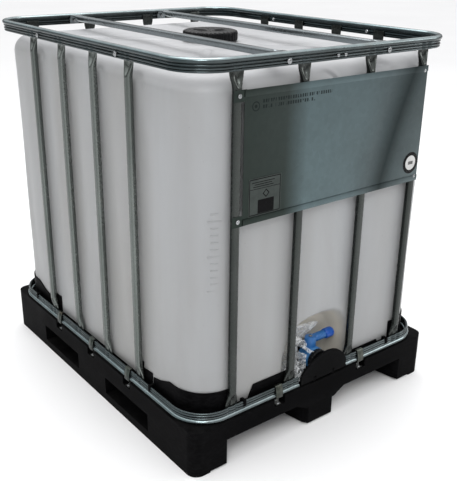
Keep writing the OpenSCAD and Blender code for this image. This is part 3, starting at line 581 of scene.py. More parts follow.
def rail_sheet():
    """Outline of the roll-formed sheet: lip curl, two small beads, big bead; u outward, h up from the lip"""
    line = []
    for k in range(9):
        a = math.radians(205 + 245 * k / 8)
        line.append((-8.1 + 2.5 * math.cos(a), 3.1 + 2.35 * math.sin(a)))
    line.append((-10.7, 6.3))
    for middle in (9.9, 18.5):
        for k in range(9):
            a = math.pi * k / 8
            line.append((-11 + 6.5 * math.sin(a), middle - 3.1 * math.cos(a)))
    for k in range(27):
        a = math.radians(-106 + 348 * k / 26)
        line.append((-8.8 + 8.1 * math.cos(a), 29.15 + 7.1 * math.sin(a)))
    return sheet_outline(line, 1.4)


SHEET = rail_sheet()
SMALL_BEADS_TO = 22.2


def crimps(s):
    return [m + d for m in bars_on(s) for d in (-CRIMP, CRIMP)]


def rail(name, z0, flip, gap=None):
    """Ring of sheet, its small beads pressed in beside each bar; gap is an opening in the front"""
    def straight(s, lo, hi, marks):
        return [(s, p, None) for p in stations(lo, hi, marks, 42, 2.2, 7.5)]

    stops = []
    for s in range(4):
        run = half(s + 1) - RAIL_R
        marks = crimps(s) + ([0] if s == 0 and not gap else [])
        stops += straight(s, gap[1] if gap and s == 0 else -run, run, marks)
        stops += [(s, run, math.radians(90 * k / 20)) for k in range(1, 20)]
    if gap:
        stops += straight(0, RAIL_R - RAIL_X, gap[0], crimps(0))
    verts = []
    for s, p, corner in stops:
        flat = corner is None
        press = max(math.exp(-((p - m) / 3.2) ** 2) for m in crimps(s)) if flat else 0.0
        seam = 1.0 if (flat and s == 0 and not gap and abs(p) < 1.3) else 0.0
        # slight unevenness left by roll forming
        wave = max(0.0, 0.35 * math.sin(p * 0.013 + s * 2.1) + 0.2 * math.sin(p * 0.041 + s)) * 0.6
        ring = []
        for u, h in SHEET:
            z = z0 + (RAIL_H - h if flip else h)
            out = u - 1.1 * seam * clamp((u + 10) / 4)
            if h < SMALL_BEADS_TO:
                out -= 4.2 * press * clamp((u + 10.4) / 6.0)
            if flat:
                ring.append(side_point(s, p, out - wave, z))
            else:
                r = RAIL_R + out
                ring.append((*turned(s, p + r * math.sin(corner), RAIL_R - half(s) - r * math.cos(corner)),
                             z))
        verts.append(ring)
    g = Geo().loft(verts, closed=not gap)
    return remake(name, "formed", g, GALV, sharp=50)


rail("top_rail", TOP_Z, False)
rail("bottom_rail", BOTTOM_Z, True, VALVE_GAP)


# ---------------------------------------------------------------- bars

def section(w, t, r, crease=0.0):
    """Closed outline of a tube: (along the side, outward); the outward face can dip at its middle"""
    r = max(0.2, min(r, w / 2 - 0.01, t / 2 - 0.01))
    pts = []
    for cx, cy, start in ((1, 1, 0), (-1, 1, 90), (-1, -1, 180), (1, -1, 270)):
        for k in range(7):
            a = math.radians(start + 15 * k)
            pts.append((cx * (w / 2 - r) + r * math.cos(a), cy * (t / 2 - r) + r * math.sin(a)))
        if cx == cy:
            for f in (0.75, 0.5, 0.25, 0.08, 0, -0.08, -0.25, -0.5, -0.75):
                pts.append((cx * f * (w / 2 - r), cy * t / 2))
    return [(a, b - crease * math.exp(-(a / 5.0) ** 2) * (b / (t / 2)) if b > 0 else b) for a, b in pts]


def bar(name, s, p, seed):
    """Upright tube with flattened ends, bowed a little to one side; q is 1 where it's flat"""
    tip, flat, tube = (168.8, 1161.4), (187.2, 1143.0), (232.2, 1098.0)
    rise = tube[1] - tube[0]
    levels = [(tip[0], 1.0), (tip[0] + 1, 1.0), (flat[0] - 3, 1.0)]
    levels += [(flat[0] + (tube[0] - flat[0]) * k / 14, 1 - k / 14) for k in range(15)]
    levels += [(tube[0] + rise * k / 12, 0.0) for k in range(1, 12)]
    levels += [(tube[1] + (flat[1] - tube[1]) * k / 14, k / 14) for k in range(15)]
    levels += [(flat[1] + 3, 1.0), (tip[1] - 1, 1.0), (tip[1], 1.0)]
    lean = random.Random(seed).uniform(-0.5, 0.5)
    rings = []
    for z, q in levels:
        e = smooth(q)
        shrink = 0.7 if z in tip else 0.0
        w = TUBE_W + (FLAT_W - TUBE_W) * e - shrink
        t = TUBE_T + (FLAT_T - TUBE_T) * e - shrink
        corner = TUBE_CORNER * (1 - e) + FLAT_CORNER * e
        middle = TUBE_U + (TAB_U - TUBE_U) * e
        belly = 0.0 if q else lean * math.sin(math.pi * (z - tube[0]) / rise)
        dip = 0
        if q > 0.12:
            dip = min(6.0 * math.sin(math.pi * clamp((q - 0.12) / 0.88)) ** 0.8, max(0.0, t - 2.6))
        rings.append([side_point(s, p + a + belly, middle + b, z) for a, b in section(w, t, corner, dip)])
    return remake(name, "formed", Geo().loft(rings), TUBE, sharp=42)


for s in range(4):
    for i, p in enumerate(bars_on(s)):
        bar(f"bar_{SIDES[s]}_{i + 1}", s, p, 4 * s + i + 1)


# ---------------------------------------------------------------- cross bars and their bolts

def cross_bar(name, x):
    """Tube from rail to rail, its ends flattened, bent down and held against the rails"""
    # stations along the front end: y, z, turn from level, width, thickness, corner, dip
    leg = -(RAIL_Y + TAB_U)
    end = [(leg, 1145.2, 90, 34.5, 3.4, 1.5, 0)]
    end += [(leg + d, z, turn, 36, 4, 1.6, 0) for d, z, turn in
            ((0, 1146, 90), (0, 1159.5, 90), (1.4, 1162.6, 66), (5.1, 1165.6, 66))]
    bend, bend_y = 5.0, -570.4
    for k in range(7):
        a = math.radians(180 - 15 * k)
        y, z = bend_y + bend * math.cos(a), STRAP_Z - bend + bend * math.sin(a)
        end.append((y, z, 90 - 15 * k, 36, 4, 1.6, 0))
    tube_y, flare, drop = -526, 30, STRAP_Z - CROSS_Z
    for k in range(1, 13):
        q = k / 12
        e = smooth(q)
        slope = -math.degrees(math.atan2(drop * 6 * q * (1 - q), flare))
        end.append((tube_y - flare + flare * q, STRAP_Z - drop * e, slope, 36 - 12 * e, 4 + 16 * e,
                    1.6 + 4.4 * e, min(5 * math.sin(math.pi * q), 1.0 + 14 * e)))
    middle = [(tube_y - 2 * tube_y * k / 10, CROSS_Z, 0, TUBE_W, TUBE_T, 6, 0) for k in range(1, 10)]
    far_end = [(-y, z, -turn, *size) for y, z, turn, *size in reversed(end)]
    rings = []
    for y, z, turn, *size in end + middle + far_end:
        c, sn = math.cos(math.radians(turn)), math.sin(math.radians(turn))
        rings.append([(x + a, y - b * sn, z + b * c) for a, b in section(*size)])
    return remake(name, "formed", Geo().loft(rings), CROSS, sharp=42)


cross_bar("cross_bar_left", -CROSS_X)
cross_bar("cross_bar_right", CROSS_X)


def along(g, s, p, u, z, profile, n=32, ribs=None):
    """Revolved shape on side s whose axis points outward, starting at u"""
    return g.revolve(profile, side_point(s, p, u, z), AXES[s], n, ribs)


DOME = [(0.05, 4.3), (2.0, 4.2), (3.8, 3.7), (5.2, 2.8), (6.0, 1.9), (6.2, 1.3), (6.5, 1.1), (7.9, 0.9),
        (8.0, 0.3), (7.8, 0), (4.05, 0)]


def hexed(flat):
    """Ribs for a nut: a circle's radius less what a hexagon leaves out"""
    def fn(ang, i):
        a = np.mod(ang, math.pi / 3) - math.pi / 6
        return flat / np.cos(a) - flat / math.cos(math.pi / 6)
    return fn


def bolts(name, places, grip):
    """Dome-headed bolts through the rail, each with a nut behind"""
    g = Geo()
    shank = [(0.05, 0.4), (4.0, 0.3), (4.0, -grip - 4.6), (3.4, -grip - 5.2), (0.05, -grip - 5.2)]
    nut = [(r, -grip - h) for r, h in ((4.0, 0), (6.0, 0), (6.2, 0.6), (6.2, 3.6), (5.6, 4.2), (4.0, 4.2))]
    for s, p in places:
        along(g, s, p, SEAT_U + 0.05, BOLT_Z, DOME)
        along(g, s, p, SEAT_U + 0.05, BOLT_Z, shank, 24)
        along(g, s, p, SEAT_U + 0.05, BOLT_Z, nut, 36, hexed(5.4))
    return remake(name, "domed", g, ZINC, sharp=40)


bolts("cross_bar_bolts", [(s, x) for s in (0, 2) for x in (-CROSS_X, CROSS_X)], SEAT_U - TAB_U + 2)
bolts("side_rail_bolts", [(s, y) for s in (1, 3) for y in (-SIDE_BOLT_Y, SIDE_BOLT_Y)], SEAT_U + 11.8)

RIVET_HEAD = [(0.05, 2.6), (1.8, 2.5), (3.4, 1.9), (4.6, 0.9), (5.0, 0.2), (4.9, 0), (2.5, 0)]
RIVET_TAIL = [(2.5, 0.2), (2.5, -8.1), (4.0, -8.3), (3.8, -9.4), (2.0, -10), (0.05, -10)]
g = Geo()
for x in (-RIVET_X, RIVET_X):
    along(g, 0, x, SEAT_U, BOLT_Z, RIVET_HEAD)
    along(g, 0, x, SEAT_U, BOLT_Z, RIVET_TAIL, 24)
remake("rail_rivets", "domed", g, ZINC, sharp=40)


# ---------------------------------------------------------------- hold-down clips

# from the tongue behind the rail, over its top, down its face and in under it to the screw
CLIP_LINE = [(-13.1, 172.5), (-13.1, 189.1), (-12.6, 189.9), (-11.9, 190.4), (-6.6, 190.4), (-5.4, 190.0),
             (-4.4, 188.7), (0.9, 170.4), (1.2, 168.6), (1.2, 150.8), (0.9, 149.6), (-11.8, 139.4),
             (-12.4, 138.6), (-12.6, 137.6), (-12.6, 127.6), (-12.2, 126.6), (-11.2, 126.1), (0.9, 126.1)]


def clip(name, s, p):
    """Strap of sheet over the rail, narrower at its foot, with a rib pressed into the slope of its face"""
    prof = sheet_outline(CLIP_LINE, 1.9)
    rings = []
    for d, rib in ((-15, 0), (-14.6, 0), (-14, 0), (-7.5, 0), (-6.2, 0.55), (-3.6, 0.9), (0, 1.0), (3.6, 0.9),
                   (6.2, 0.55), (7.5, 0), (14, 0), (14.6, 0), (15, 0)):
        ring = []
        for u, z in prof:
            push = rib * 0.9 if 150 < z < 189 and u > -6 else 0.0
            wide = 0.62 + 0.25 * smooth((z - 138) / 14)
            ring.append(side_point(s, p + d * wide, min(u + push, 3.1), z))
        rings.append(ring)
    return remake(name, "pressed", Geo().loft(rings), CLIP, sharp=45)


CLIP_SCREW = [(0.05, 1.0), (1.6, 1.0), (2.0, 2.2), (3.4, 2.6), (4.8, 1.9), (5.3, 0.9), (5.3, 0.1), (2.8, 0),
              (2.8, -14), (0.05, -18)]
g = Geo()
for s in (3, 1, 0, 2):
    for i, p in enumerate(CLIP_SIDE_Y if s % 2 else CLIP_FRONT_X):
        clip(f"clip_{SIDES[s]}_{i + 1}", s, p)
        g.revolve(CLIP_SCREW, side_point(s, p, -5.5, 127.1), "Z", 28)
remake("clip_screws", "headed", g, ZINC, sharp=40)


# ---------------------------------------------------------------- front plate, its screws, label and sticker

def plate_outline():
    """Section of the plate: (y, z) round the sheet, with a folded hem at the bottom and at the top"""
    z0, z1 = PLATE_Z
    outer, inner = PLATE_FACE - 0.4, PLATE_FACE + 0.4
    hem = [(PLATE_BACK, 1.6), (PLATE_BACK - 0.1, 0.5), (inner, 0.05), (outer, 0.05), (HEM_FACE + 0.15, 0.4),
           (HEM_FACE, 1.2), (HEM_FACE, HEM_H - 0.7), (HEM_FACE + 0.25, HEM_H), (PLATE_FACE, HEM_H + 0.1)]
    rows = 14
    face = [(PLATE_FACE, z0 + HEM_H + (z1 - z0 - 2 * HEM_H) * k / rows) for k in range(1, rows)]
    back = [(PLATE_BACK, z1 - 1.6 - (z1 - z0 - 3.2) * k / 8) for k in range(1, 8)]
    return [(y, z0 + h) for y, h in hem] + face + [(y, z1 - h) for y, h in reversed(hem)] + back


def plate():
    """Thin sheet with hems, a little bowed between the bars, and two ears at the left"""
    (x0, x1), (z0, z1) = PLATE_X, PLATE_Z
    outline = plate_outline()
    rings = []
    for x in [x0, x0 + 0.6] + list(np.linspace(x0 + 12, x1 - 12, 58)) + [x1 - 0.6, x1]:
        ring = []
        free = min(1, min(abs(x - b) for b in FRONT_BARS) / 60)
        for y, z in outline:
            f, h = (x - x0) / (x1 - x0), (z - z0) / (z1 - z0)
            wave = 0.35 * (math.sin(math.pi * f * 3 + 0.6) + math.sin(math.pi * f))
            bow = 1.5 * math.sin(math.pi * h) * wave * free * 1.3
            ring.append((x, y + min(bow, 0.9), z))
        rings.append(ring)
    g = Geo().loft(rings)
    for zc in PLATE_SCREW_Z:
        rows = []
        for x, hh, th in ((-371, 13.2, 0.2), (-370.2, 14.6, 0.0), (-368, 15, 0), (-338, 15, 0),
                          (-330, 15, 0)):
            back, front = PLATE_BACK - 0.05 - th, PLATE_FACE + th
            rows.append([(x, back, zc - hh), (x, back, zc + hh), (x, front, zc + hh), (x, front, zc - hh)])
        g.loft(rows)
    return remake("front_plate", "hemmed", g, PLATE, sharp=38)


plate()
PLATE_SCREW = [(0.05, 3.4), (1.8, 3.3), (3.2, 2.9), (4.1, 2.1), (4.2, 1.9), (6.0, 1.7), (6.1, 0.1), (3, 0.02),
               (3, -7), (0.05, -9)]
g = Geo()
for x in PLATE_SCREW_X:
    for z in PLATE_SCREW_Z:
        g.revolve(PLATE_SCREW, (x, PLATE_FACE, z), "-Y", 32)
remake("plate_screws", "headed", g, ZINC, sharp=40)

back, front = PLATE_FACE - 0.05, PLATE_FACE - 0.33
g = Geo().loft([[(x, back, LABEL_Z[0]), (x, back, LABEL_Z[1]), (x, front, LABEL_Z[1]), (x, front, LABEL_Z[0])]
                for x in np.linspace(*LABEL_X, 9)])
remake("label_panel", "printed", g, LABEL, sharp=30)
disc = [(0.05, 0.38), (20, 0.38), (STICKER_R - 0.6, 0.36), (STICKER_R, 0.2), (STICKER_R - 0.1, 0.05),
        (0.05, 0.05)]
g = Geo().revolve(disc, (STICKER_X, PLATE_FACE, STICKER_Z), "-Y", 72)
remake("round_sticker", "printed", g, STICKER, sharp=30)


# ---------------------------------------------------------------- bottle

def bottle_path():
    """Points round the bottle: (x, y, nx, ny, side, p), p None on a corner; fine across the valve recess"""
    fine = 172
    out = []
    for s in range(4):
        across, along_it = (B_Y, B_X) if s % 2 == 0 else (B_X, B_Y)
        run = along_it - B_R
        if s == 0:
            left, right = np.linspace(-run, -fine, 12), np.linspace(fine, run, 12)
            ps = [*left[:-1], *np.linspace(-fine, fine, 77), *right[1:]]
        else:
            ps = np.linspace(-run, run, 73 if s % 2 else 61)
        stops = [(p, -across, 0, -1, p) for p in ps]
        for k in range(1, 16):
            a = math.radians(90 * k / 16)
            c, sn = math.cos(a), math.sin(a)
            stops.append((run + B_R * sn, -(across - B_R) - B_R * c, sn, -c, None))
        out += [(*turned(s, x, y), *turned(s, nx, ny), s, p) for x, y, nx, ny, p in stops]
    return out


def panel_swell(s, p, z):
    """Outward swell of the wall between the bars, and the shallow hollow where a bar lies against it"""
    gap, amp = (97.5, 7.5) if s % 2 else (113, 6.0)
    swell = smooth(min(abs(p - m) for m in bars_on(s)) / gap)
    swell *= 0.75 + 0.25 * math.sin(p * 0.031 + s * 1.7 + z * 0.004)
    v = smooth((z - 230) / 130) * smooth((1075 - z) / 120)
    edge = smooth((B_X * 0.9 - abs(p) + 60) / 90) if abs(p) > 380 else 1.0
    if s == 0:
        # flatter round the valve's recess
        v *= 1 - 0.75 * smooth((200 - abs(p)) / 60) * smooth((430 - z) / 70)
    return amp * (swell - 0.12) * v * edge


# where each side has a crease: p, z
PUCKERS = (((-4, 1098), (232, 1104)), ((-240, 1096), (40, 1094)), ((60, 1098),),
           ((-262, 1092), (-66, 1096), (128, 1090), (322, 1098)))


def pucker(s, p, z):
    """Small curved creases just under the top rail"""
    depth = 0.0
    for cp, cz in PUCKERS[s]:
        dx, dz = p - cp, z - cz
        arc = math.hypot(dx + 26, dz + 34) - 42
        depth += -4.6 * math.exp(-(arc / 5.5) ** 2) * math.exp(-((dx / 34) ** 2 + (dz / 30) ** 2))
        depth += 2.3 * math.exp(-((arc - 10) / 7) ** 2) * math.exp(-((dx / 38) ** 2 + (dz / 34) ** 2))
    return depth


def flute(s, nx, ny, z):
    """Soft upright flutes round a corner"""
    turn = math.degrees(math.atan2(ny, nx)) % 90
    depth = math.exp(-((turn - 22) / 6) ** 2) + 0.8 * math.exp(-((turn - 66) / 8) ** 2)
    swell = 0.9 * math.sin(z * 0.011 + s) * smooth((z - 260) / 200)
    return swell - 1.8 * depth * smooth((z - 190) / 80) * smooth((1080 - z) / 90)


def recess(x, y, z):
    """Depth of the hollow above and round the valve: a big arch with soft shoulders"""
    if y > RECESS_Y:
        return 0.0
    arch, corner, depth, shoulder = 260.0, 60.0, 70, 56.0
    crown = RECESS_TOP - (arch - math.sqrt(max(0.0, arch * arch - min(abs(x), 250) ** 2)))
    ax, az = abs(x) - RECESS_W + corner, z - crown + corner
    d = math.hypot(max(ax, 0), max(az, 0)) + min(max(ax, az), 0) - corner
    return depth * smooth(0.5 - d / shoulder)


def in_front(s, p, ny):
    """Whether the recess can reach this point of the bottle's path"""
    return s == 0 and p is not None or ny < -0.7


def outer_wall(path):
    """Rings from the foot to the top of the shoulder; each level is a height and how far it's pulled in"""
    foot, shoulder = 24, 55
    quarter = [math.radians(15 * k) for k in range(7)]
    levels = [(B_FOOT + foot * (1 - math.sin(a)), foot * (1 - math.cos(a))) for a in reversed(quarter)]
    levels += [(z, 0.0) for z in (*np.arange(184, 384, 5.0), *np.linspace(392, 1062, 44))]
    for k in range(1, 15):
        a = math.radians(90 * k / 14)
        z = B_TOP - shoulder + shoulder * math.sin(a) - 1.5 * (1 - k / 14)
        levels.append((z, shoulder * (1 - math.cos(a))))
    rings = []
    for z, pull in levels:
        ring = []
        for x, y, nx, ny, s, p in path:
            out = flute(s, nx, ny, z) if p is None else panel_swell(s, p, z) + pucker(s, p, z)
            x, y = x + nx * (out - pull), y + ny * (out - pull)
            ring.append((x, y + recess(x, y, z) if in_front(s, p, ny) else y, z))
        rings.append(ring)
    return rings


# the neck's outside, rim and bore: radius, z
NECK = [(88, 1130.3), (82, 1131.2), (77.5, 1133), (75, 1136), (74, 1140), (74, 1156.6), (73.4, 1157.6),
        (72.2, 1158), (69.2, 1158), (68.2, 1157.4), (68, 1156), (68, 1128), (70, 1118), (90, 1124.6)]


def top_and_neck(shoulder):
    """Rings from the shoulder's last one to the neck and down its bore, to the underside of the top"""
    ang = np.arctan2(shoulder[:, 1], shoulder[:, 0])
    rad = np.hypot(shoulder[:, 0], shoulder[:, 1])

    def ring(radii, z):
        return np.stack([radii * np.cos(ang), radii * np.sin(ang), np.full(len(ang), 1.0) * z], 1)

    rings = []
    for f in np.linspace(0.04, 1, 26):
        r = rad + (96.0 - rad) * f
        x, y = r * np.cos(ang), r * np.sin(ang)
        # shallow star of ribs from the neck to the corners, and a low ring round the neck
        dist = np.hypot(x, y)
        diag = np.minimum(np.abs(x * 0.772 - y * 0.635), np.abs(x * 0.772 + y * 0.635))
        fade = np.clip((dist - 140) / 60, 0, 1) * np.clip((600 - dist) / 120, 0, 1)
        drop = 8.0 * np.exp(-(diag / 15) ** 2) * fade + 4.5 * np.exp(-((dist - 165) / 16) ** 2)
        drop += 2.2 * (1 + np.sin(x * 0.018 + 1.0) * np.sin(y * 0.015)) * np.clip((dist - 120) / 100, 0, 1)
        rings.append(ring(r, np.minimum(B_TOP - drop, B_TOP)))
    rings += [ring(r, z) for r, z in NECK]
    inner = rad - 8
    return rings + [ring(90 + (inner - 90) * (1 - f), 1121.0) for f in (0.6, 0.15)] + [ring(inner, 1121.0)]


def inner_wall(path):
    """The inside of the wall, clear of the recess: heights and how far in"""
    rings = []
    for z, pull in ((1105, 30), (1078, 9), (1050, 6), (700, 6), (400, 6), (390, 6), (380, 6), (300, 6),
                    (185, 6), (170, 14), (158, 30)):
        ring = []
        for x, y, nx, ny, s, _ in path:
            x, y = x - nx * pull, y - ny * pull
            if (s == 0 or ny < -0.7) and z < 388 and y < RECESS_Y:
                y += 78 * smooth((175 - abs(x)) / 26)
            ring.append((x, y, z))
        rings.append(ring)
    return rings


def neck_thread():
    """Two and a half turns, fading at both ends"""
    turns, per, rise, root = 2.5, 64, 5.2, 73.4
    rings = []
    for k in range(int(turns * per) + 1):
        a = 2 * math.pi * k / per
        fade = min(1, k / 8, (turns * per - k) / 8)
        rings.append([((root + out * fade) * math.cos(a), (root + out * fade) * math.sin(a),
                       1140.5 + rise * k / per + up)
                      for out, up in ((0, -1.2), (0.9, -0.7), (0.9, 0.5), (0, 1.0))])
    return rings


def level_tick(z, x0, x1):
    """A low moulded line beside the front left corner"""
    rings = []
    for x, ease in ((x0, 0.5), (x0 + 1.2, 0), (x1 - 1.2, 0), (x1, 0.5)):
        wall = -569.6 + min(0, x + B_X - B_R) ** 2 / (2 * B_R)
        face = wall - 0.2 + ease
        rings.append([(x, wall + 2, z - 2.2), (x, face, z - 0.9), (x, face, z + 0.9), (x, wall + 2, z + 2.2)])
    return rings


def bottle():
    path = bottle_path()
    wall = [np.array(ring) for ring in outer_wall(path)]
    g = Geo().loft(wall + top_and_neck(wall[-1]) + [np.array(ring) for ring in inner_wall(path)])
    stub = [(33, -4), (33, 10.6), (32.4, 11.6), (31, 12), (26, 12), (25, 11.4), (25, -6)]
    g.revolve(stub, (0, -500, VALVE_Z), "-Y", 56, closed=True)
    g.loft(neck_thread())
    for i in range(12):
        reach = 18 if i % 5 == 0 else 10
        g.loft(level_tick(558 + 20 * i, -401 - reach, -401 + reach))
    return remake("bottle", "blown", g, HDPE, sharp=55)


bottle()


# ---------------------------------------------------------------- lid and its gasket

def ribs_on(amount, count, rows):
    """Ribs along the axis on some rows of a profile"""
    def fn(ang, i):
        return amount * np.clip(1.6 * np.cos(ang * count) + 0.35, 0, 1) if i in rows else 0.0
    return fn


LID_PROF = [(74.5, 1134.4), (74.5, 1160.6), (70, 1161.2), (0.05, 1161.2), (0.05, 1165.8), (12, 1165.8),
            (14.5, 1165.2), (16.5, 1163.6), (30, 1163.4), (52, 1163.8), (60, 1164.3), (63, 1165.9),
            (66, 1166.8), (72, 1167), (77, 1166.6), (81, 1165.4), (84, 1163), (85.4, 1160), (85.8, 1156),
            (86, 1139), (86.5, 1137.5), (88.6, 1136.6), (89, 1135.4), (88.2, 1134.4), (86, 1134)]
GRIP = [[(r, -w - 0.8, 1162.8), (r, -w, h), (r, w, h), (r, w + 0.8, 1162.8)]
        for r, h, w in ((16, 1163.2, 2.2), (18, 1165.6, 2.6), (58, 1165.6, 2.6), (61, 1164.2, 2.2))]
g = Geo().revolve(LID_PROF, n=288, ribs=ribs_on(3.6, 36, (16, 17, 18, 19)), closed=True)
for k in (0, 3, 1, 4, 2, 5):
    # six raised grips across the top
    c, sn = math.cos(math.pi * k / 3), math.sin(math.pi * k / 3)
    g.loft([[(x * c - y * sn, x * sn + y * c, z) for x, y, z in row] for row in GRIP])
remake("fill_lid", "ribbed", g, LID, "lid")
seal = [(60, 1158.2), (60, 1160.6), (60.5, 1161), (72.4, 1161), (73, 1160.6), (73, 1158.5), (72.4, 1158.05),
        (60.5, 1158.05)]
g = Geo().revolve(seal, n=96, closed=True)
remake("lid_gasket", "ring", g, RUBBER, "lid_seal")


# ---------------------------------------------------------------- valve

VALVE_AXIS, STEM_AXIS = (0, 0, VALVE_Z), (0, STEM_Y, 0)
g = Geo().revolve([(33.2, 502), (41.4, 502.0), (42.6, 503.4), (42.8, 510), (42.4, 519.5), (40.5, 521.1),
                   (36.4, 521.2), (36.3, 518.6), (41.2, 518.4), (41.3, 512.2), (33.3, 512.1)], VALVE_AXIS,
                  "-Y", 192, ribs_on(1.2, 32, (2, 3, 4)), closed=True)
remake("valve_nut", "ribbed", g, GUARD)

g = Geo().revolve([(20.1, 512.4), (40.5, 512.4), (41, 513), (41, 517.8), (40.4, 518.3), (37, 518.5),
                   (36, 519.5), (36, 558.5), (35, 561.5), (33, 562.8), (29.6, 563.1), (28.4, 564.2),
                   (28.4, 566), (29, 566.4), (29, 567.6), (28.3, 568), (28.3, 569.6), (29, 570),
                   (29, 571.4), (28.2, 572), (28, 573.6), (27, 574), (24, 574), (20.3, 571.5), (20.1, 566)],
                  VALVE_AXIS, "-Y", 72, closed=True)
g.revolve([(8.1, 232), (8.1, 251.2), (9, 252), (13.6, 252), (14.8, 251), (15, 249), (15, 236), (17.5, 232)],
          STEM_AXIS, "Z", 48, closed=True)
remake("valve_body", "moulded", g, VALVE)

# a bored sphere with a flat on top for the stem
BALL_R, BORE_R = 24, 17.0
arc = [math.radians(-90 + 7.5 * k) for k in range(25)]
ball = [(BALL_R * math.cos(a), BALL_R * math.sin(a)) for a in arc if BALL_R * math.cos(a) >= BORE_R]
g = Geo().revolve([(BORE_R, -16.94), *ball, (BORE_R, 16.94)], (0, STEM_Y, VALVE_Z), "X", 72, closed=True)
g.move(lambda v: (v[0], v[1], min(v[2], VALVE_Z + 20)))
remake("valve_ball", "turned", g, INNER, "valve_handle", sharp=30)

g = Geo().revolve([(0.05, 228.1), (7, 228.1), (7.9, 229), (7.9, 240), (7.4, 240.4), (7.4, 242.4),
                   (7.9, 242.8), (7.9, 263.4), (7.2, 264), (0.05, 264)], STEM_AXIS, "Z", 40)
remake("valve_stem", "turned", g, INNER, "valve_handle")


def handle():
    """Lever: round hub over the stem, ribbed round shaft, thick rounded grip at the tip"""
    hub = [(3.1, 276.2), (3.1, 264.2), (8.05, 264.1), (8.05, 253.2), (15.7, 253.2), (15.7, 238.0),
           (16.4, 237.4), (18.2, 237.4), (18.9, 238.2), (19, 255.6), (19, 270), (18.4, 273.5), (16.4, 276),
           (12, 277), (6.6, 277), (6.2, 276.4)]
    g = Geo().revolve(hub, STEM_AXIS, "Z", 72, closed=True)
    shaft = [(0.05, 8), (11.8, 8.2), (12.2, 18)]
    for k in range(6):
        x = 19 + 6.4 * k
        shaft += [(12.6, x), (13.6, x + 0.9), (13.6, x + 3.3), (12.6, x + 4.2)]
    shaft += [(12.6, 61), (0.05, 61.2)]
    g.revolve(shaft, (0, STEM_Y, 264.8), "X", 48)
    tip = [(0.05, 58.6), (12, 58.7), (14.8, 59.4), (16.0, 61), (16.5, 63.6), (16.6, 78), (16.6, 86),
           (15.8, 90.4), (13.8, 93.2), (10, 94.6), (5.6, 94.9), (5.0, 94.0), (0.05, 93.8)]
    g.revolve(tip, (0, STEM_Y, 264.6), "X", 56)
    # web under the shaft, from the hub out to the tip
    g.loft([[(x, STEM_Y - w, 262), (x, STEM_Y - w + 0.6, h + 0.6), (x, STEM_Y - w + 1.6, h),
             (x, STEM_Y + w - 1.6, h), (x, STEM_Y + w - 0.6, h + 0.6), (x, STEM_Y + w, 262)]
            for x, h, w in ((10, 250.6, 4.4), (24, 249.8, 4.2), (48, 250.5, 4.0), (62, 251.5, 3.8))])
    return remake("valve_handle", "moulded", g, BLUE, "valve_handle", sharp=38)


handle()
g = Geo().revolve([(0.05, 279.0), (2.4, 279.0), (2.9, 277.9), (3.2, 279.6), (4.4, 279.9), (5.6, 279.2),
                   (6, 278), (6, 277.1), (3, 277), (3, 264.2), (0.05, 264.2)], STEM_AXIS, "Z", 36)
remake("handle_screw", "headed", g, ZINC, "valve_handle")

g = Geo().revolve([(29.6, 564.3), (32.6, 564.1), (33.6, 564.8), (33.8, 566), (33.8, 578.6), (33, 580.2),
                   (31, 581), (20, 581), (18.6, 580.2), (10, 580), (0.05, 580), (0.05, 577), (29.4, 577),
                   (29.6, 576.4)], VALVE_AXIS, "-Y", 192, ribs_on(1.15, 24, (3, 4)), closed=True)
remake("outlet_cap", "ribbed", g, LID, "outlet_cap")
g = Geo().revolve([(22, 574.2), (22, 575.8), (22.4, 576), (28.6, 576), (29, 575.7), (29, 574.3),
                   (28.6, 574.05), (22.4, 574.05)], VALVE_AXIS, "-Y", 64, closed=True)
remake("outlet_cap_gasket", "ring", g, RUBBER, "outlet_seal")


# ---------------------------------------------------------------- dust bag

# Section of the film seen along the valve: from beside the stem, over a raised lobe, down to the guard's
# edge, then folded back up inside; x, z and how far the fold swings as it runs from back to front
FILM_LINE = [(-20, 245, 0), (-31, 246, 0.3), (-43, 246, 1), (-53, 258, 2), (-60, 276, 3), (-68, 292, 3),
             (-78, 301, 2), (-89, 298, 1), (-95, 284, -1), (-94, 264, -3), (-86, 244, -4), (-79, 226, -3),
             (-80, 208, 0), (-87, 192, 2), (-93, 178, 1), (-90, 169, 0), (-82, 172, 0), (-74, 186, 1),
             (-66, 202, 2), (-62, 219, 2), (-66, 236, 1), (-74, 250, 0)]


def smoothed(line, count):
    """The line's columns at evenly spaced points along it, with its corners rounded"""
    step = np.concatenate([[0], np.cumsum(np.hypot(*np.diff(line[:, :2], axis=0).T))])
    run = np.linspace(0, step[-1], count)
    kern = np.hanning(11)
    kern /= kern.sum()
    cols = [np.interp(run, step, col) for col in line.T]
    return [np.convolve(np.pad(col, 5, mode="edge"), kern, "valid") for col in cols]


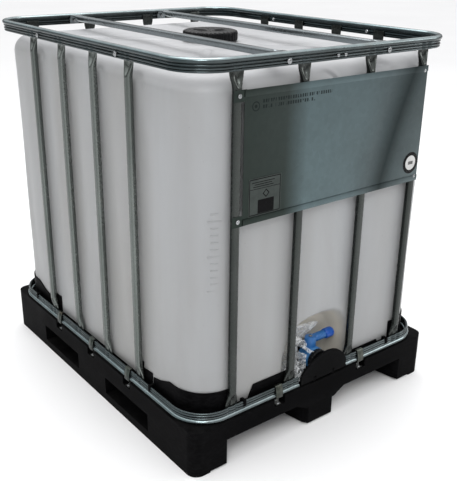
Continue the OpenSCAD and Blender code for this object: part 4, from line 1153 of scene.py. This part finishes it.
def dust_bag():
    """Clear film pushed back to the left of the valve and crumpled over it, its open edge drooping"""
    rnd = np.random.RandomState(11)
    nu, nv, creases = 150, 96, 22
    rear, wall = 0.30, (-514, -503.5)
    x_range, y_range, z_range = (-103, 70), (-583, -506), (164, 318)
    u, v = np.meshgrid(np.linspace(0, 1, nu), np.linspace(0, 1, nv), indexing="ij")
    px, pz, swing = (c[:, None] + 0 * v for c in smoothed(np.array(FILM_LINE, float), nu))
    # the rear third spreads out behind the stem, against the wall of the bottle's recess
    k = np.clip((rear - v) / rear, 0, 1)
    f = np.clip((v - rear) / (1 - rear), 0, 1)
    fan = np.radians(58 + 150 * u)
    x = px + swing * 2.2 * np.sin(f * 3.4 + 0.4)
    z = pz + swing * 1.6 * np.cos(f * 4.1) - 5 * f * f * (pz > 230)
    x = x + (108 * np.cos(fan) - x) * k
    z = z + (VALVE_Z + 104 * np.sin(fan) - z) * k
    y = -509 - 71 * f + 4 * np.sin(u * 17) * (1 - k)
    tx, tz = np.gradient(px, axis=0), np.gradient(pz, axis=0)
    size = np.hypot(tx, tz) + 1e-9
    nx, nz = -tz / size, tx / size
    for _ in range(creases):
        a, pitch, phase = rnd.uniform(-0.5, math.pi + 0.5), rnd.uniform(7, 34), rnd.uniform(0, 6.28)
        w = np.sin(pitch * (1.7 * u * math.cos(a) + v * math.sin(a)) + phase + 0.8 * np.sin(5 * u + phase))
        w = 17.0 / pitch * (1 - np.abs(w) ** 0.7 * 2)
        x = x + w * nx * (1 - 0.8 * k)
        z = z + w * nz * (1 - 0.8 * k)
        y = y + w * (rnd.uniform(-0.5, 0.5) * (1 - k) + 0.75 * k)
    y = np.where(k > 0, np.clip(y, *wall), np.clip(y, *y_range))
    # keep clear of the valve and cap, the stem's tower and the swept handle
    far, clear = np.hypot(x, z - VALVE_Z), np.where(y > -524, 46.0, 38.0)
    push = np.maximum(clear / np.maximum(far, 1), 1)
    x, z = x * push, VALVE_Z + (z - VALVE_Z) * push
    front = y < -515
    x = np.where(front & (z > 230) & (x > -23), -23, x)
    z = np.where(front & (x > -40), np.minimum(z, 248), z)
    pts = np.stack([np.clip(x, *x_range), y, np.clip(z, *z_range)], 2)
    g = Geo().loft(pts, wrap=False, caps=(False, False))
    ob = remake("dust_bag", "film", g, FILM, sharp=180, recalc=False)
    skin = ob.modifiers.new("film", "SOLIDIFY")
    skin.thickness = 0.0002


dust_bag()


# ---------------------------------------------------------------- carried-over CAD nodes

def finish_node(name, material, width):
    """A CAD node kept as it is, its flat faces joined and its sharp edges eased by a small bevel"""
    ob = NODES[name]
    ob.data.materials.clear()
    ob.data.materials.append(material)
    flat = ob.modifiers.new("flat", "DECIMATE")
    flat.decimate_type = "DISSOLVE"
    flat.angle_limit = math.radians(0.6)
    edge = ob.modifiers.new("edge", "BEVEL")
    edge.width = width * MM
    edge.segments = 2
    edge.limit_method = "ANGLE"
    edge.angle_limit = math.radians(32)


for n in ("pallet_deck", "skid_left", "skid_middle", "skid_right"):
    finish_node(n, PALLET, 2.0)
finish_node("bottle_tray", TRAY, 0.9)
finish_node("valve_guard", GUARD, 0.9)
finish_node("guard_pin", ZINC, 0.6)

HOOK_LINE = [(-21.5, 150.5), (-21.5, 188.2), (-20.6, 189.6), (-19, 190.2), (-6.6, 190.2), (-4.6, 189.6),
             (-3.6, 188), (-3.6, 171.5)]


def tray_hooks():
    """Hooks moulded on the tray that reach over the bottom rail, two on each side"""
    prof = sheet_outline(HOOK_LINE, 3.2)
    middle = prof.mean(0)
    g = Geo()
    for s, p in ((0, -309), (0, 309), (2, -309), (2, 309), (3, 359), (3, -426), (1, -359), (1, 426)):
        g.loft([[side_point(s, p + d, u, z) for u, z in prof + (middle - prof) * ease]
                for d, ease in ((-4.2, 0.01), (-3.6, 0), (3.6, 0), (4.2, 0.01))])
    return make("tray_hooks", g, TRAY, sharp=40)


tray_hooks()


# ---------------------------------------------------------------- floor, light and camera

def floor():
    m, t, b, co = shader("floor_paint", rough=0.62)
    cloud = noise(t, co, 0.8, 3, 0.5)
    link(t, b, Base_Color=mix(t, fit(t, cloud, 0, 1), (0.90, 0.90, 0.90, 1), (0.92, 0.92, 0.92, 1)),
         Roughness=fit(t, cloud, 0.60, 0.72))
    a = np.arange(64) * 2 * math.pi / 64
    level = np.full(64, -0.0004)
    rings = [np.stack([r * np.cos(a), r * np.sin(a), level], 1) for r in (0.01, 2, 6, 14, 30, 60)]
    g = Geo().loft(rings, caps=(False, False))
    me = bpy.data.meshes.new("floor")
    me.from_pydata(g.v, [], g.f)
    ob = bpy.data.objects.new("floor", me)
    SCENE.collection.objects.link(ob)
    me.materials.append(m)


def lamp(name, place, aim, size, power):
    """Square area lamp that looks at aim"""
    light = bpy.data.lights.new(name, "AREA")
    light.size = size
    light.energy = power
    ob = bpy.data.objects.new(name, light)
    SCENE.collection.objects.link(ob)
    ob.location = place
    ob.rotation_euler = (Vector(aim) - Vector(place)).to_track_quat("-Z", "Y").to_euler()


def world():
    """A plain studio: bright overhead, dull at the horizon"""
    w = bpy.data.worlds.new("studio")
    SCENE.world = w
    w.use_nodes = True
    t = w.node_tree
    up = split(t, node(t, "TexCoord").outputs["Generated"])["Z"]
    stops = ((0.0, 0.34), (0.22, 0.24), (0.42, 0.90), (1.0, 1.65))
    sky = ramp(t, fit(t, up, 0, 1, -0.1, 1.0), [(p, (c, c, c * 1.01)) for p, c in stops])
    t.links.new(sky, t.nodes["Background"].inputs[0])
    t.nodes["Background"].inputs[1].default_value = 0.85


def camera():
    """Seen from the front left and from above"""
    place, turn = Vector((-1.4979, -2.0134, 1.4387)), Vector((1.8769, -0.6336, 0.4430))
    r = Matrix.Rotation(turn.length, 3, turn.normalized())
    m = Matrix((r[0], -r[1], -r[2])).transposed().to_4x4()
    m.translation = place
    cam = bpy.data.cameras.new("camera")
    cam.sensor_width = 36
    cam.lens = 55.99
    cam.shift_x, cam.shift_y = 0.0051, 0.0014
    cam.clip_end = 200
    ob = bpy.data.objects.new("camera", cam)
    SCENE.collection.objects.link(ob)
    ob.matrix_world = m
    SCENE.camera = ob


floor()
world()
camera()
lamp("key", (-3.0, -3.6, 4.6), (0, 0, 0.6), 2.2, 100)
lamp("overhead", (0.2, 0.8, 4.6), (0, 0, 0.8), 3.2, 90)
lamp("fill_right", (4.2, -3.0, 2.4), (0, 0, 0.6), 1.6, 28)
SCENE.view_settings.view_transform = "Standard"
